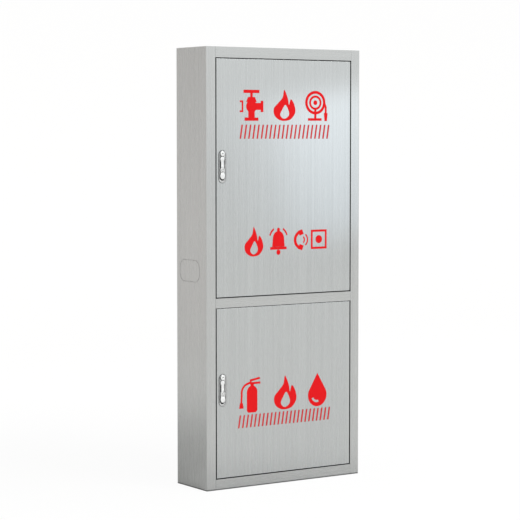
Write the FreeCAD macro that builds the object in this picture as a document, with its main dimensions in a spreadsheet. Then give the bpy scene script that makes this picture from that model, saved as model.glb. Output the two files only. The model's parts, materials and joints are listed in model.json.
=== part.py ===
import FreeCAD, Part
import math
import os
import re

import Sketcher

# A two-bay standpipe cabinet, in millimetres: +Z up, +X to the right seen from the front, and the front
# facing -Y. The origin is on the underside, at the middle of the width and of the depth.
SIZES = {
    # folded steel case
    "cabinet_width": 700,
    "cabinet_height": 1650,
    "cabinet_depth": 210,
    "sheet_thickness": 1.2,
    "frame_face": 40,
    "mid_rail_face": 36,
    "shelf_height": 700,
    "back_flange": 15,
    "bend_radius": 3,
    "edge_radius": 1,
    # doors, which sit flush in the frame
    "door_side_gap": 4,
    "door_end_gap": 3.5,
    "lower_door_top_gap": 2,
    "door_depth": 22,
    "door_lip": 10,
    "door_edge_radius": 1.5,
    "stiffener_width": 60,
    "stiffener_depth": 13,
    "stiffener_foot": 14,
    "stiffener_end_space": 40,
    # stop lips behind the doors and the seals on them
    "stop_lip": 10,
    "stop_lip_end": 262,
    "seal_thickness": 2.7,
    "seal_clearance": 0.3,
    # door pivots
    "pivot_inset": 17,
    "pivot_setback": 5,
    "pivot_radius": 2.5,
    "bush_radius": 3.7,
    "bush_flange_radius": 4.8,
    "bush_length": 8,
    "running_clearance": 0.05,
    "hinge_plate_thickness": 3,
    "hinge_plate_half_width": 14,
    "hinge_plate_depth": 14,
    # knock-outs in the side walls
    "knockout_height": 817,
    "knockout_centre": 14,
    "knockout_half_width": 70,
    "knockout_half_height": 41,
    "knockout_corner": 32,
    "knockout_slit": 1,
    "knockout_bridge": 4,
    "knockout_bridge_length": 2,
    # wall fixing
    "wall_bolt_radius": 6,
    "wall_bolt_column": 250,
    "wall_bolt_low": 125,
    "wall_bolt_high": 1525,
    # lever locks
    "lock_inset": 25.5,
    "upper_lock_height": 1207,
    "lower_lock_height": 373.5,
    "lock_plate_half_width": 15,
    "lock_plate_half_length": 59,
    "lock_plate_thickness": 2.5,
    "lock_body_half_width": 12.5,
    "lock_body_low": 54,
    "lock_body_high": 42,
    "lock_body_depth": 12,
    "lock_cutout_clearance": 0.2,
    "lock_pocket_half_width": 10.5,
    "lock_pocket_low": 51.5,
    "lock_pocket_high": 39.5,
    "lock_pocket_depth": 8,
    "lock_boss_radius": 8.5,
    "lock_boss_height": 49,
    "lever_pivot_height": 26,
    "lever_pivot_depth": 4,
    "lever_pin_radius": 1.5,
    "lever_knuckle_radius": 3.6,
    "lever_head_radius": 9.5,
    "lever_proud": 4.5,
    "lever_back": 1,
    "lever_waist_half_width": 5,
    "lever_waist_low": 30,
    "lever_paddle_low": 45,
    "lever_paddle_high": 14,
    "cam_half_width": 3,
    "cam_reach": 12,
    "cam_nose_radius": 2,
    "cam_slot_side": 1,
    "cam_slot_low": 9.5,
    "cam_slot_high": 5,
    "lever_waist_step": 0.5,
    "lever_knuckle_inset": 1,
    "case_half_width": 19.5,
    "case_depth": 8.5,
    "case_low": 8.5,
    "case_high": 42,
    "tongue_front": 13.5,
    "tongue_thickness": 5,
    "tongue_low": 0.5,
    "tongue_high": 12.5,
    "tongue_tip": 35.5,
    "tongue_bevel": 4,
    "tongue_arm": 9,
    "tongue_arm_low": 10.5,
    "tongue_step": 2,
    "tongue_ramp_start": 3.2,
    "tongue_ramp_run": 18,
    "tongue_mouth_clearance": 0.3,
    "tongue_slot_clearance": 1,
    "latch_spring_radius": 2.4,
    "latch_spring_bore": 1.8,
    "latch_spring_seat": 1.9,
    "lock_screw_radius": 1.9,
    "lock_screw_hole_clearance": 0.2,
    "lock_screw_bite": 3,
    "lock_screw_head_radius": 3.5,
    "lock_screw_head": 1.4,
    "lock_screw_top": 38,
    "lock_screw_bottom": -4,
    # riser elbow and landing valve
    "valve_across": -200,
    "valve_depth": 30,
    "riser_height": 817,
    "elbow_radius": 60,
    "pipe_radius": 38,
    "pipe_bore": 33,
    "grommet_radius": 44,
    "grommet_flange": 50,
    "grommet_thickness": 3.6,
    "branch_height": 61,
    "branch_length": 88,
    "branch_bore": 30,
    "branch_root": 41,
    "collar_radius": 46,
    "collar_top": 22,
    "waist_radius": 41,
    "waist_height": 28,
    "belly_radius": 50,
    "belly_low": 43,
    "belly_high": 85,
    "neck_radius": 44,
    "neck_low": 95,
    "body_top": 103,
    "inlet_depth": 23,
    "seat_bore": 30,
    "seat_low": 28,
    "seat_top": 35,
    "seat_floor_radius": 38,
    "chamber_radius": 42,
    "chamber_low": 41,
    "throat_radius": 37,
    "throat_low": 91,
    "bonnet_flange_top": 112,
    "bonnet_shoulder_radius": 26,
    "bonnet_shoulder": 118,
    "bonnet_neck_radius": 20,
    "bonnet_top": 135,
    "gland_top": 148,
    "gland_radius": 17,
    "washer_low": 35.3,
    "washer_top": 39.3,
    "washer_radius": 34,
    "disc_radius": 35,
    "disc_rim": 47,
    "disc_hub_radius": 14,
    "disc_hub_low": 49,
    "disc_top": 62,
    "disc_socket_floor": 50,
    "stem_tip_radius": 6,
    "stem_tip_low": 50.3,
    "stem_shoulder": 62.3,
    "stem_radius": 8,
    "wheel_low": 172,
    "wheel_high": 190,
    "wheel_rim_radius": 52,
    "wheel_rim_section": 7,
    "wheel_hub_radius": 16,
    "wheel_spoke_radius": 4.5,
    "wheel_nut_top": 198,
    "wheel_nut_radius": 14,
    "coupling_radius": 44,
    "coupling_length": 26,
    "coupling_bore": 32,
    "coupling_lug": 6,
    "coupling_lug_half_width": 9,
    "gasket_bore": 32.5,
    "gasket_radius": 38,
    "gasket_length": 4,
    # hose rack, branch nozzle and its clips
    "rack_left": 60,
    "rack_right": 260,
    "rack_low": 1270,
    "rack_high": 1330,
    "rack_plate": 3,
    "rack_arm_radius": 6,
    "rack_arm_end": -50,
    "rack_arm_height": 1290,
    "rack_arm_tip": 34,
    "rack_arm_inset": 20,
    "nozzle_across": -260,
    "nozzle_depth": 62,
    "nozzle_base": 1180,
    "nozzle_base_radius": 27,
    "nozzle_base_bore": 20,
    "nozzle_taper_low": 34,
    "nozzle_taper_high": 225,
    "nozzle_neck_radius": 14,
    "nozzle_tip_low": 228,
    "nozzle_tip_radius": 17,
    "nozzle_top": 245,
    "nozzle_jet_bore": 9.5,
    "nozzle_coupling_radius": 38,
    "nozzle_coupling_length": 26,
    "nozzle_lug": 5,
    "nozzle_lug_half_width": 8,
    "nozzle_lug_height": 12,
    "lower_clip_low": 72,
    "lower_clip_half_gap": 25,
    "upper_clip_low": 172,
    "upper_clip_half_gap": 18.3,
    "clip_height": 16,
    "clip_thickness": 2,
    "clip_arm_end": 54,
}

# Directions and planes that most pieces share, as formulas of the sheet.
SHEET = "sheet_thickness"
OUTER = "cabinet_width/2"
INNER = "(cabinet_width/2 - sheet_thickness)"
OPENING = "(cabinet_width/2 - frame_face)"
FRONT = "(-cabinet_depth/2)"
BACK = "(cabinet_depth/2)"
BACK_PANEL_FRONT = "(cabinet_depth/2 - 2*sheet_thickness)"
RETURN_DEPTH = "(door_depth + seal_clearance + seal_thickness + sheet_thickness)"
STOP_FRONT = "(door_depth + seal_clearance + seal_thickness)"
DOOR_HALF = "(cabinet_width/2 - frame_face - door_side_gap)"
PIVOT_X = f"({DOOR_HALF} - pivot_inset)"
PIVOT_Y = f"({FRONT} + pivot_setback)"
LOCK_X = f"(lock_inset - {DOOR_HALF})"
VALVE_BASE = "(riser_height + elbow_radius)"

# Each door opening: its lower edge, its upper edge and the height of its lock's centre.
OPENINGS = {
    "upper": ("(shelf_height + mid_rail_face/2)", "(cabinet_height - frame_face)", "upper_lock_height"),
    "lower": ("frame_face", "(shelf_height - mid_rail_face/2)", "lower_lock_height"),
}
TOP_GAPS = {"upper": "door_end_gap", "lower": "lower_door_top_gap"}

TURNED = {
    "x": FreeCAD.Rotation(FreeCAD.Vector(0, 1, 0), 90),
    "y": FreeCAD.Rotation(FreeCAD.Vector(1, 0, 0), -90),
    "z": FreeCAD.Rotation(),
}

document = FreeCAD.newDocument("standpipe_cabinet")
nodes = []


def fill_sheet():
    """Write the driving sizes into a spreadsheet, one alias to a row."""
    sheet = document.addObject("Spreadsheet::Sheet", "Sizes")
    for row, (alias, value) in enumerate(SIZES.items(), start=1):
        sheet.set(f"A{row}", alias)
        sheet.set(f"B{row}", str(value))
        sheet.setAlias(f"B{row}", alias)
    document.recompute()


def formula(text):
    """Put the sheet's name before each of its aliases."""
    return re.sub(r"[a-z_]+", lambda word: f"Sizes.{word[0]}" if word[0] in SIZES else word[0], text)


def bind(item, **formulas):
    """Bind properties to the sheet; two underscores in a name stand for a dot."""
    for name, text in formulas.items():
        item.setExpression(name.replace("__", "."), formula(str(text)))
    return item


def place(item, x, y, z):
    """Bind a piece's position to the sheet."""
    return bind(item, Placement__Base__x=x, Placement__Base__y=y, Placement__Base__z=z)


def box(label, x, y, z):
    """A block; each direction is a pair of formulas, low and high."""
    item = document.addObject("Part::Box", label)
    bind(item, Length=f"{x[1]} - ({x[0]})", Width=f"{y[1]} - ({y[0]})", Height=f"{z[1]} - ({z[0]})")
    return place(item, x[0], y[0], z[0])


def along(axis, start, across):
    """The three coordinates of a point at start on an axis and at across on the other two directions."""
    first, second = across
    return {"x": (start, first, second), "y": (first, start, second), "z": (first, second, start)}[axis]


def rod(label, axis, across, radius, span):
    """A round bar along x, y or z; across is its centre in the other two directions, in x, y, z order."""
    item = document.addObject("Part::Cylinder", label)
    item.Placement = FreeCAD.Placement(FreeCAD.Vector(), TURNED[axis])
    bind(item, Radius=radius, Height=f"{span[1]} - ({span[0]})")
    return place(item, *along(axis, span[0], across))


def hexagon(label, across, radius, span):
    """A six-sided bar along z."""
    item = document.addObject("Part::Prism", label)
    item.Polygon = 6
    bind(item, Circumradius=radius, Height=f"{span[1]} - ({span[0]})")
    return place(item, across[0], across[1], span[0])


def joined(label, *pieces):
    """One solid made of pieces that touch."""
    item = document.addObject("Part::MultiFuse", label)
    item.Shapes = list(pieces)
    item.Refine = True
    return item


def cut(label, base, *tools):
    """The base with every tool taken away."""
    item = document.addObject("Part::Cut", label)
    item.Base = base
    item.Tool = tools[0] if len(tools) == 1 else joined(f"{label}_openings", *tools)
    item.Refine = True
    return item


def group(label, *pieces):
    """Separate solids kept together as one node."""
    item = document.addObject("Part::Compound", label)
    item.Links = list(pieces)
    return item


def rounded(label, base, *rounds):
    """The base with edges rounded; each round is a size from the sheet and a test that picks its edges."""
    document.recompute()
    edges = []
    for size, chosen in rounds:
        radius = SIZES[size]
        edges += [(n, radius, radius) for n, edge in enumerate(base.Shape.Edges, start=1) if chosen(edge)]
    item = document.addObject("Part::Fillet", label)
    item.Base = base
    item.Edges = edges
    return item


def ring(label, axis, across, radius, bore, span):
    """A tube along x, y or z."""
    outside = rod(f"{label}_outside", axis, across, radius, span)
    return cut(label, outside, rod(f"{label}_bore", axis, across, bore, span))


def stadium(label, half_width, low, high, y, height):
    """A block with round ends, upright on the lock's centre line."""
    x = (f"{LOCK_X} - {half_width}", f"{LOCK_X} + {half_width}")
    bottom, top = f"{height} - {low} + {half_width}", f"{height} + {high} - {half_width}"
    middle = box(f"{label}_middle", x, y, (bottom, top))
    foot = rod(f"{label}_foot", "y", (LOCK_X, bottom), half_width, y)
    head = rod(f"{label}_head", "y", (LOCK_X, top), half_width, y)
    return joined(label, middle, foot, head)


def outline(body, role, points, name):
    """A closed outline on one of the body's own origin planes, each corner held by formulas."""
    sketch = body.newObject("Sketcher::SketchObject", name)
    plane = next(item for item in body.Origin.OriginFeatures if item.Role == role)
    sketch.AttachmentSupport = [(plane, "")]
    sketch.MapMode = "FlatFace"
    count = len(points)
    turn = 2 * math.pi / count
    spots = [FreeCAD.Vector(100 * math.cos(turn * n), 100 * math.sin(turn * n), 0) for n in range(count)]
    for n in range(count):
        sketch.addGeometry(Part.LineSegment(spots[n], spots[(n + 1) % count]), False)
    for n in range(count):
        sketch.addConstraint(Sketcher.Constraint("Coincident", n, 2, (n + 1) % count, 1))
    for n, corner in enumerate(points):
        for kind, text, axis in zip(("DistanceX", "DistanceY"), corner, (-2, -1)):
            if str(text) == "0":
                sketch.addConstraint(Sketcher.Constraint("PointOnObject", n, 1, axis))
                continue
            start = spots[n].x if kind == "DistanceX" else spots[n].y
            index = sketch.addConstraint(Sketcher.Constraint(kind, -1, 1, n, 1, start))
            sketch.setExpression(f"Constraints[{index}]", formula(str(text)))
    return sketch


def turned_piece(label, points, x, y, z):
    """A body of revolution about z; its points are radius and height above its own base."""
    body = document.addObject("PartDesign::Body", label)
    sketch = outline(body, "XZ_Plane", points, f"{label}_outline")
    turned = body.newObject("PartDesign::Revolution", f"{label}_turned")
    turned.Profile = sketch
    turned.ReferenceAxis = (sketch, ["V_Axis"])
    turned.Angle = 360
    return place(body, x, y, z)


def keep(*items):
    """Mark finished sub-parts as nodes of the object."""
    nodes.extend(items)


def mirrored_span(side, low, high):
    """A span along x on the left or on the right of the middle."""
    return (low, high) if side == "right" else (f"-({high})", f"-({low})")


def rail_edge(label, edge, way):
    """The fold behind a rail at one edge of a door opening; way is + above the opening and - below it."""
    def span(low, high):
        pair = (f"{edge} {way} ({low})", f"{edge} {way} ({high})")
        return pair if way == "+" else pair[::-1]

    fold = box(
        f"{label}_return",
        (f"-{OPENING}", OPENING),
        (FRONT, f"{FRONT} + {RETURN_DEPTH}"),
        span("0", SHEET),
    )
    lip = box(
        f"{label}_lip",
        (f"-{OPENING}", "stop_lip_end"),
        (f"{FRONT} + {STOP_FRONT}", f"{FRONT} + {RETURN_DEPTH}"),
        span("-stop_lip", SHEET),
    )
    hole = rod(f"{label}_pin_hole", "z", (PIVOT_X, PIVOT_Y), "pivot_radius", span("0", SHEET))
    return fold, lip, hole


def rounded_rectangle(label, x, shrink):
    """A plate with round corners in the side wall, smaller all round by shrink."""
    y = [f"knockout_centre {way} (knockout_half_width - {shrink})" for way in "-+"]
    z = [f"knockout_height {way} (knockout_half_height - {shrink})" for way in "-+"]
    plate = box(f"{label}_blank", x, y, z)

    def corner(edge):
        return abs(edge.Vertexes[0].X - edge.Vertexes[-1].X) > 1

    return rounded(label, plate, ("knockout_corner", corner))


def side_panel(side):
    """One side wall with its front stile, door return and back flange, and the knock-out blank in it."""
    label = f"{side}_side_panel"
    height = ("0", "cabinet_height")
    wall = box(f"{label}_wall", mirrored_span(side, INNER, OUTER), (FRONT, BACK), height)
    stile = box(f"{label}_stile", mirrored_span(side, OPENING, OUTER), (FRONT, f"{FRONT} + {SHEET}"), height)
    flange = box(
        f"{label}_flange",
        mirrored_span(side, f"{OUTER} - back_flange", OUTER),
        (f"{BACK} - {SHEET}", BACK),
        height,
    )
    fold = box(
        f"{label}_return",
        mirrored_span(side, OPENING, f"{OPENING} + {SHEET}"),
        (FRONT, f"{FRONT} + {RETURN_DEPTH}"),
        ("frame_face", "cabinet_height - frame_face"),
    )
    walls = [wall, stile, flange, fold]
    openings = []
    through = mirrored_span(side, f"{OUTER} - 5*{SHEET}", f"{OUTER} + {SHEET}")
    openings.append(rounded_rectangle(f"{side}_knockout_hole", through, "0"))
    if side == "left":
        for bay, (low, high, lock) in OPENINGS.items():
            walls.append(
                box(
                    f"{label}_{bay}_lip",
                    (f"-{OPENING} - {SHEET}", f"-{OPENING} + stop_lip"),
                    (f"{FRONT} + {STOP_FRONT}", f"{FRONT} + {RETURN_DEPTH}"),
                    (f"{low} + stop_lip", f"{high} - stop_lip"),
                )
            )
            across = (f"-{OPENING} - 2*{SHEET}", f"-{OPENING} + {SHEET}")
            openings.append(tongue_slot(f"{label}_{bay}_tongue_slot", across, lock))
    folded = joined(f"{label}_folded", *walls)
    pierced = cut(f"{label}_pierced", folded, *openings)

    def stands_at(x, y):
        def test(edge):
            start, end = edge.Vertexes[0], edge.Vertexes[-1]
            on_line = abs(abs(start.X) - x) < 0.01 and abs(start.Y - y) < 0.01
            return on_line and abs(end.Z - start.Z) > SIZES["cabinet_height"] / 2

        return test

    half_width, half_depth = SIZES["cabinet_width"] / 2, SIZES["cabinet_depth"] / 2
    opening = half_width - SIZES["frame_face"]
    keep(
        rounded(
            label,
            pierced,
            ("bend_radius", stands_at(half_width, -half_depth)),
            ("edge_radius", stands_at(opening, -half_depth)),
        )
    )

    blank = rounded_rectangle(f"{side}_knockout_blank", mirrored_span(side, INNER, OUTER), "knockout_slit")
    bottom = "knockout_height - knockout_half_height"
    top = "knockout_height + knockout_half_height"
    bridges = [
        box(
            f"{side}_knockout_{name}_bridge",
            mirrored_span(side, INNER, OUTER),
            ("knockout_centre - knockout_bridge/2", "knockout_centre + knockout_bridge/2"),
            z,
        )
        for name, z in (("top", (f"{top} - knockout_bridge_length", top)),
                        ("bottom", (bottom, f"{bottom} + knockout_bridge_length")))
    ]
    keep(joined(f"{side}_knockout", blank, *bridges))


def tongue_slot(label, x, lock):
    """The slot that a latch tongue passes through, in the frame or in the door's edge."""
    y = (
        f"{FRONT} + tongue_front - tongue_slot_clearance",
        f"{FRONT} + tongue_front + tongue_thickness + tongue_slot_clearance",
    )
    z = (f"{lock} + tongue_low - tongue_slot_clearance", f"{lock} + tongue_high + tongue_slot_clearance")
    return box(label, x, y, z)


def end_panel(label, wall_z, flange_z, face_z, edge, way):
    """The top or bottom wall with its front rail, door return, stop lip and back flange."""
    wall = box(f"{label}_wall", (f"-{INNER}", INNER), (f"{FRONT} + {SHEET}", f"{BACK} - {SHEET}"), wall_z)
    face = box(f"{label}_face", (f"-{OPENING}", OPENING), (FRONT, f"{FRONT} + {SHEET}"), face_z)
    flange = box(
        f"{label}_flange",
        (f"back_flange - {OUTER}", f"{OUTER} - back_flange"),
        (f"{BACK} - {SHEET}", BACK),
        flange_z,
    )
    fold, lip, hole = rail_edge(label, edge, way)
    keep(cut(label, joined(f"{label}_folded", wall, face, flange, fold, lip), hole))


def mid_rail():
    """The front rail between the two doors and the shelf that closes it behind."""
    low, high = OPENINGS["lower"][1], OPENINGS["upper"][0]
    face = box("mid_rail_face_wall", (f"-{OPENING}", OPENING), (FRONT, f"{FRONT} + {SHEET}"), (low, high))
    lower_fold, lower_lip, lower_hole = rail_edge("mid_rail_low", low, "+")
    upper_fold, upper_lip, upper_hole = rail_edge("mid_rail_high", high, "-")
    folded = joined("mid_rail_folded", face, lower_fold, lower_lip, upper_fold, upper_lip)
    keep(cut("mid_rail", folded, lower_hole, upper_hole))

    front = f"{FRONT} + {RETURN_DEPTH}"
    plate = box(
        "divider_shelf_plate",
        (f"-{INNER}", INNER),
        (front, BACK_PANEL_FRONT),
        (f"shelf_height - {SHEET}", "shelf_height"),
    )
    apron = box("divider_shelf_apron", (f"-{OPENING}", OPENING), (front, f"{front} + {SHEET}"), (low, high))
    upstand = box(
        "divider_shelf_upstand",
        (f"-{INNER}", INNER),
        (f"{BACK_PANEL_FRONT} - {SHEET}", BACK_PANEL_FRONT),
        ("shelf_height", "shelf_height + back_flange"),
    )
    keep(joined("divider_shelf", plate, apron, upstand))


def back_panel():
    """The back sheet, with the four wall bolt holes and the hole for the riser pipe."""
    y = (BACK_PANEL_FRONT, f"{BACK} - {SHEET}")
    sheet = box("back_panel_sheet", (f"-{INNER}", INNER), y, (SHEET, f"cabinet_height - {SHEET}"))
    holes = [
        rod(f"back_panel_{side}_{row}_hole", "y", (x, z), "wall_bolt_radius", y)
        for side, x in (("left", "-wall_bolt_column"), ("right", "wall_bolt_column"))
        for row, z in (("low", "wall_bolt_low"), ("high", "wall_bolt_high"))
    ]
    holes.append(rod("back_panel_pipe_hole", "y", ("valve_across", "riser_height"), "grommet_radius", y))
    keep(cut("back_panel", sheet, *holes))


def door_seal(bay, low, high):
    """The rubber strip on the stop lips of one opening: left side, top and bottom."""
    y = (f"{FRONT} + door_depth + seal_clearance", f"{FRONT} + {STOP_FRONT}")
    left = box(f"{bay}_seal_left", (f"-{OPENING}", f"-{OPENING} + stop_lip"), y, (low, high))
    top = box(f"{bay}_seal_top", (f"-{OPENING}", "stop_lip_end"), y, (f"{high} - stop_lip", high))
    bottom = box(f"{bay}_seal_bottom", (f"-{OPENING}", "stop_lip_end"), y, (low, f"{low} + stop_lip"))
    keep(joined(f"{bay}_door_seal", left, top, bottom))


def door_pivots():
    """The four pivot plates inside the rails, and each door's two pins and two flanged bushes."""
    centre = (PIVOT_X, PIVOT_Y)
    plates = []
    for bay, (low, high, _) in OPENINGS.items():
        pins = []
        bushes = []
        for end, edge, gap, out in (("top", high, TOP_GAPS[bay], "+"), ("bottom", low, "door_end_gap", "-")):
            label = f"{bay}_{end}"
            into = "-" if out == "+" else "+"

            def span(near, far):
                return (near, far) if out == "+" else (far, near)

            door_edge = f"{edge} {into} {gap}"
            bush_end = f"{door_edge} {into} bush_length"
            plate_face = f"{edge} {out} {SHEET}"
            plate_back = f"{plate_face} {out} hinge_plate_thickness"
            blank = box(
                f"{label}_plate_blank",
                (f"{PIVOT_X} - hinge_plate_half_width", f"{PIVOT_X} + hinge_plate_half_width"),
                (f"{FRONT} + {SHEET}", f"{FRONT} + {SHEET} + hinge_plate_depth"),
                span(plate_face, plate_back),
            )
            hole = rod(f"{label}_plate_hole", "z", centre, "pivot_radius", span(plate_face, plate_back))
            plates.append(cut(f"{label}_pivot_plate", blank, hole))
            pins.append(rod(f"{label}_pin", "z", centre, "pivot_radius", span(bush_end, plate_back)))
            flange = rod(
                f"{label}_bush_flange",
                "z",
                centre,
                "bush_flange_radius",
                span(door_edge, f"{edge} {into} seal_clearance"),
            )
            sleeve = rod(f"{label}_bush_sleeve", "z", centre, "bush_radius", span(bush_end, door_edge))
            bore = rod(
                f"{label}_bush_bore",
                "z",
                centre,
                "pivot_radius + running_clearance",
                span(bush_end, edge),
            )
            bushes.append(cut(f"{label}_bush", joined(f"{label}_bush_blank", flange, sleeve), bore))
        keep(group(f"{bay}_hinge_pins", *pins), group(f"{bay}_hinge_bushes", *bushes))
    keep(group("hinge_plates", *plates))


def door(bay, low, high, lock):
    """One door pan, folded back on all four sides with an inner lip, and its stiffener."""
    label = f"{bay}_door_panel"
    x = (f"-{DOOR_HALF}", DOOR_HALF)
    y = (FRONT, f"{FRONT} + door_depth")
    z = (f"{low} + door_end_gap", f"{high} - {TOP_GAPS[bay]}")
    lip_y = (f"{FRONT} + door_depth - {SHEET}", f"{FRONT} + door_depth")
    walls = [box(f"{label}_face", x, (FRONT, f"{FRONT} + {SHEET}"), z)]
    for name, depth, y_span in (("edge", SHEET, y), ("lip", "door_lip", lip_y)):
        walls.append(box(f"{label}_left_{name}", (x[0], f"{x[0]} + {depth}"), y_span, z))
        walls.append(box(f"{label}_right_{name}", (f"{x[1]} - {depth}", x[1]), y_span, z))
        walls.append(box(f"{label}_bottom_{name}", x, y_span, (z[0], f"{z[0]} + {depth}")))
        walls.append(box(f"{label}_top_{name}", x, y_span, (f"{z[1]} - {depth}", z[1])))
    lock_hole = stadium(
        f"{bay}_lock_hole",
        "(lock_body_half_width + lock_cutout_clearance)",
        "(lock_body_low + lock_cutout_clearance)",
        "(lock_body_high + lock_cutout_clearance)",
        (FRONT, f"{FRONT} + {SHEET}"),
        lock,
    )
    slot = tongue_slot(f"{label}_tongue_slot", (x[0], f"{x[0]} + {SHEET}"), lock)
    pivot_holes = [
        rod(f"{label}_{end}_bush_hole", "z", (PIVOT_X, PIVOT_Y), "bush_radius", span)
        for end, span in (
            ("bottom", (z[0], f"{z[0]} + {SHEET}")),
            ("top", (f"{z[1]} - {SHEET}", z[1])),
        )
    ]
    pan = cut(f"{label}_pierced", joined(f"{label}_folded", *walls), lock_hole, slot, *pivot_holes)
    half_depth = SIZES["cabinet_depth"] / 2

    def front_rim(edge):
        start, end = edge.Vertexes[0], edge.Vertexes[-1]
        on_front = abs(start.Y + half_depth) < 0.01 and abs(end.Y + half_depth) < 0.01
        straight = isinstance(edge.Curve, Part.Line)
        return on_front and straight and edge.Length > SIZES["cabinet_width"] / 2

    keep(rounded(label, pan, ("door_edge_radius", front_rim)))

    inside = f"{FRONT} + {SHEET}"
    ridge = f"{inside} + stiffener_depth"
    half = "stiffener_width/2"
    z = (f"{z[0]} + stiffener_end_space", f"{z[1]} - stiffener_end_space")
    label = f"{bay}_door_stiffener"
    keep(
        joined(
            label,
            box(f"{label}_crown", (f"-{half}", half), (f"{ridge} - {SHEET}", ridge), z),
            box(f"{label}_left_web", (f"-{half}", f"-{half} + {SHEET}"), (inside, ridge), z),
            box(f"{label}_right_web", (f"{half} - {SHEET}", half), (inside, ridge), z),
            box(
                f"{label}_left_foot",
                (f"-{half} - stiffener_foot", f"-{half} + {SHEET}"),
                (inside, f"{inside} + {SHEET}"),
                z,
            ),
            box(
                f"{label}_right_foot",
                (f"{half} - {SHEET}", f"{half} + stiffener_foot"),
                (inside, f"{inside} + {SHEET}"),
                z,
            ),
        )
    )


def lock_housing(bay, lock):
    """The face plate and body of a lever lock, with the pocket that the lever lies in."""
    label = f"{bay}_lock_housing"
    front = f"{FRONT} - lock_plate_thickness"
    body_back = f"{FRONT} + lock_body_depth"
    plate = stadium(
        f"{label}_plate",
        "lock_plate_half_width",
        "lock_plate_half_length",
        "lock_plate_half_length",
        (front, FRONT),
        lock,
    )
    body = stadium(
        f"{label}_body",
        "lock_body_half_width",
        "lock_body_low",
        "lock_body_high",
        (FRONT, body_back),
        lock,
    )
    pocket = stadium(
        f"{label}_pocket",
        "lock_pocket_half_width",
        "lock_pocket_low",
        "lock_pocket_high",
        (front, f"{FRONT} + lock_pocket_depth"),
        lock,
    )
    cam_slot = box(
        f"{label}_cam_slot",
        (f"{LOCK_X} - cam_half_width - cam_slot_side", f"{LOCK_X} + cam_half_width + cam_slot_side"),
        (f"{FRONT} + lock_pocket_depth", body_back),
        (f"{lock} + lever_pivot_height - cam_slot_low", f"{lock} + lever_pivot_height + cam_slot_high"),
    )
    pin_hole = rod(
        f"{label}_pin_hole",
        "x",
        (f"{FRONT} + lever_pivot_depth", f"{lock} + lever_pivot_height"),
        "lever_pin_radius",
        (f"{LOCK_X} - lock_body_half_width", f"{LOCK_X} + lock_body_half_width"),
    )
    screw_holes = [
        rod(
            f"{label}_{place_name}_screw_hole",
            "y",
            (LOCK_X, f"{lock} + {height}"),
            "lock_screw_radius",
            (f"{body_back} - lock_screw_bite", body_back),
        )
        for place_name, height in (("top", "lock_screw_top"), ("bottom", "lock_screw_bottom"))
    ]
    boss = rod(
        f"{label}_boss",
        "y",
        (LOCK_X, f"{lock} + lock_boss_height"),
        "lock_boss_radius",
        (f"{FRONT} - lever_proud", FRONT),
    )
    keep(cut(label, joined(f"{label}_blank", plate, body, boss), pocket, cam_slot, pin_hole, *screw_holes))
    keep(
        rod(
            f"{bay}_lever_pin",
            "x",
            (f"{FRONT} + lever_pivot_depth", f"{lock} + lever_pivot_height"),
            "lever_pin_radius",
            (f"{LOCK_X} - lock_body_half_width", f"{LOCK_X} + lock_body_half_width"),
        )
    )


def lock_lever(bay, lock):
    """The pull lever: a round head on its knuckle, a narrow waist, a paddle, and the cam finger behind."""
    label = f"{bay}_lock_lever"
    y = (f"{FRONT} - lever_proud", f"{FRONT} + lever_back")
    pivot_y, pivot_z = f"{FRONT} + lever_pivot_depth", f"{lock} + lever_pivot_height"
    head = rod(f"{label}_head", "y", (LOCK_X, pivot_z), "lever_head_radius", y)
    waist = box(
        f"{label}_waist",
        (f"{LOCK_X} - lever_waist_half_width", f"{LOCK_X} + lever_waist_half_width"),
        (f"{y[0]} + lever_waist_step", f"{y[1]} - lever_waist_step"),
        (f"{lock} - lever_waist_low", pivot_z),
    )
    top = "(-lever_paddle_high)"
    paddle = stadium(f"{label}_paddle", "lever_head_radius", "lever_paddle_low", top, y, lock)
    reach = "lever_head_radius - lever_knuckle_inset"
    across = (f"{LOCK_X} - ({reach})", f"{LOCK_X} + {reach}")
    knuckle = rod(f"{label}_knuckle", "x", (pivot_y, pivot_z), "lever_knuckle_radius", across)
    cam_x = (f"{LOCK_X} - cam_half_width", f"{LOCK_X} + cam_half_width")
    nose_y = f"{pivot_y} + cam_reach"
    finger = box(
        f"{label}_finger",
        cam_x,
        (pivot_y, nose_y),
        (f"{pivot_z} - cam_nose_radius", f"{pivot_z} + cam_nose_radius"),
    )
    nose = rod(f"{label}_nose", "x", (nose_y, pivot_z), "cam_nose_radius", cam_x)
    bore = rod(
        f"{label}_bore",
        "x",
        (pivot_y, pivot_z),
        "lever_pin_radius + running_clearance",
        (f"{across[0]} - lever_knuckle_inset", f"{across[1]} + lever_knuckle_inset"),
    )
    blank = joined(f"{label}_blank", head, waist, paddle, knuckle, finger, nose)
    keep(cut(label, blank, bore))


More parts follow.
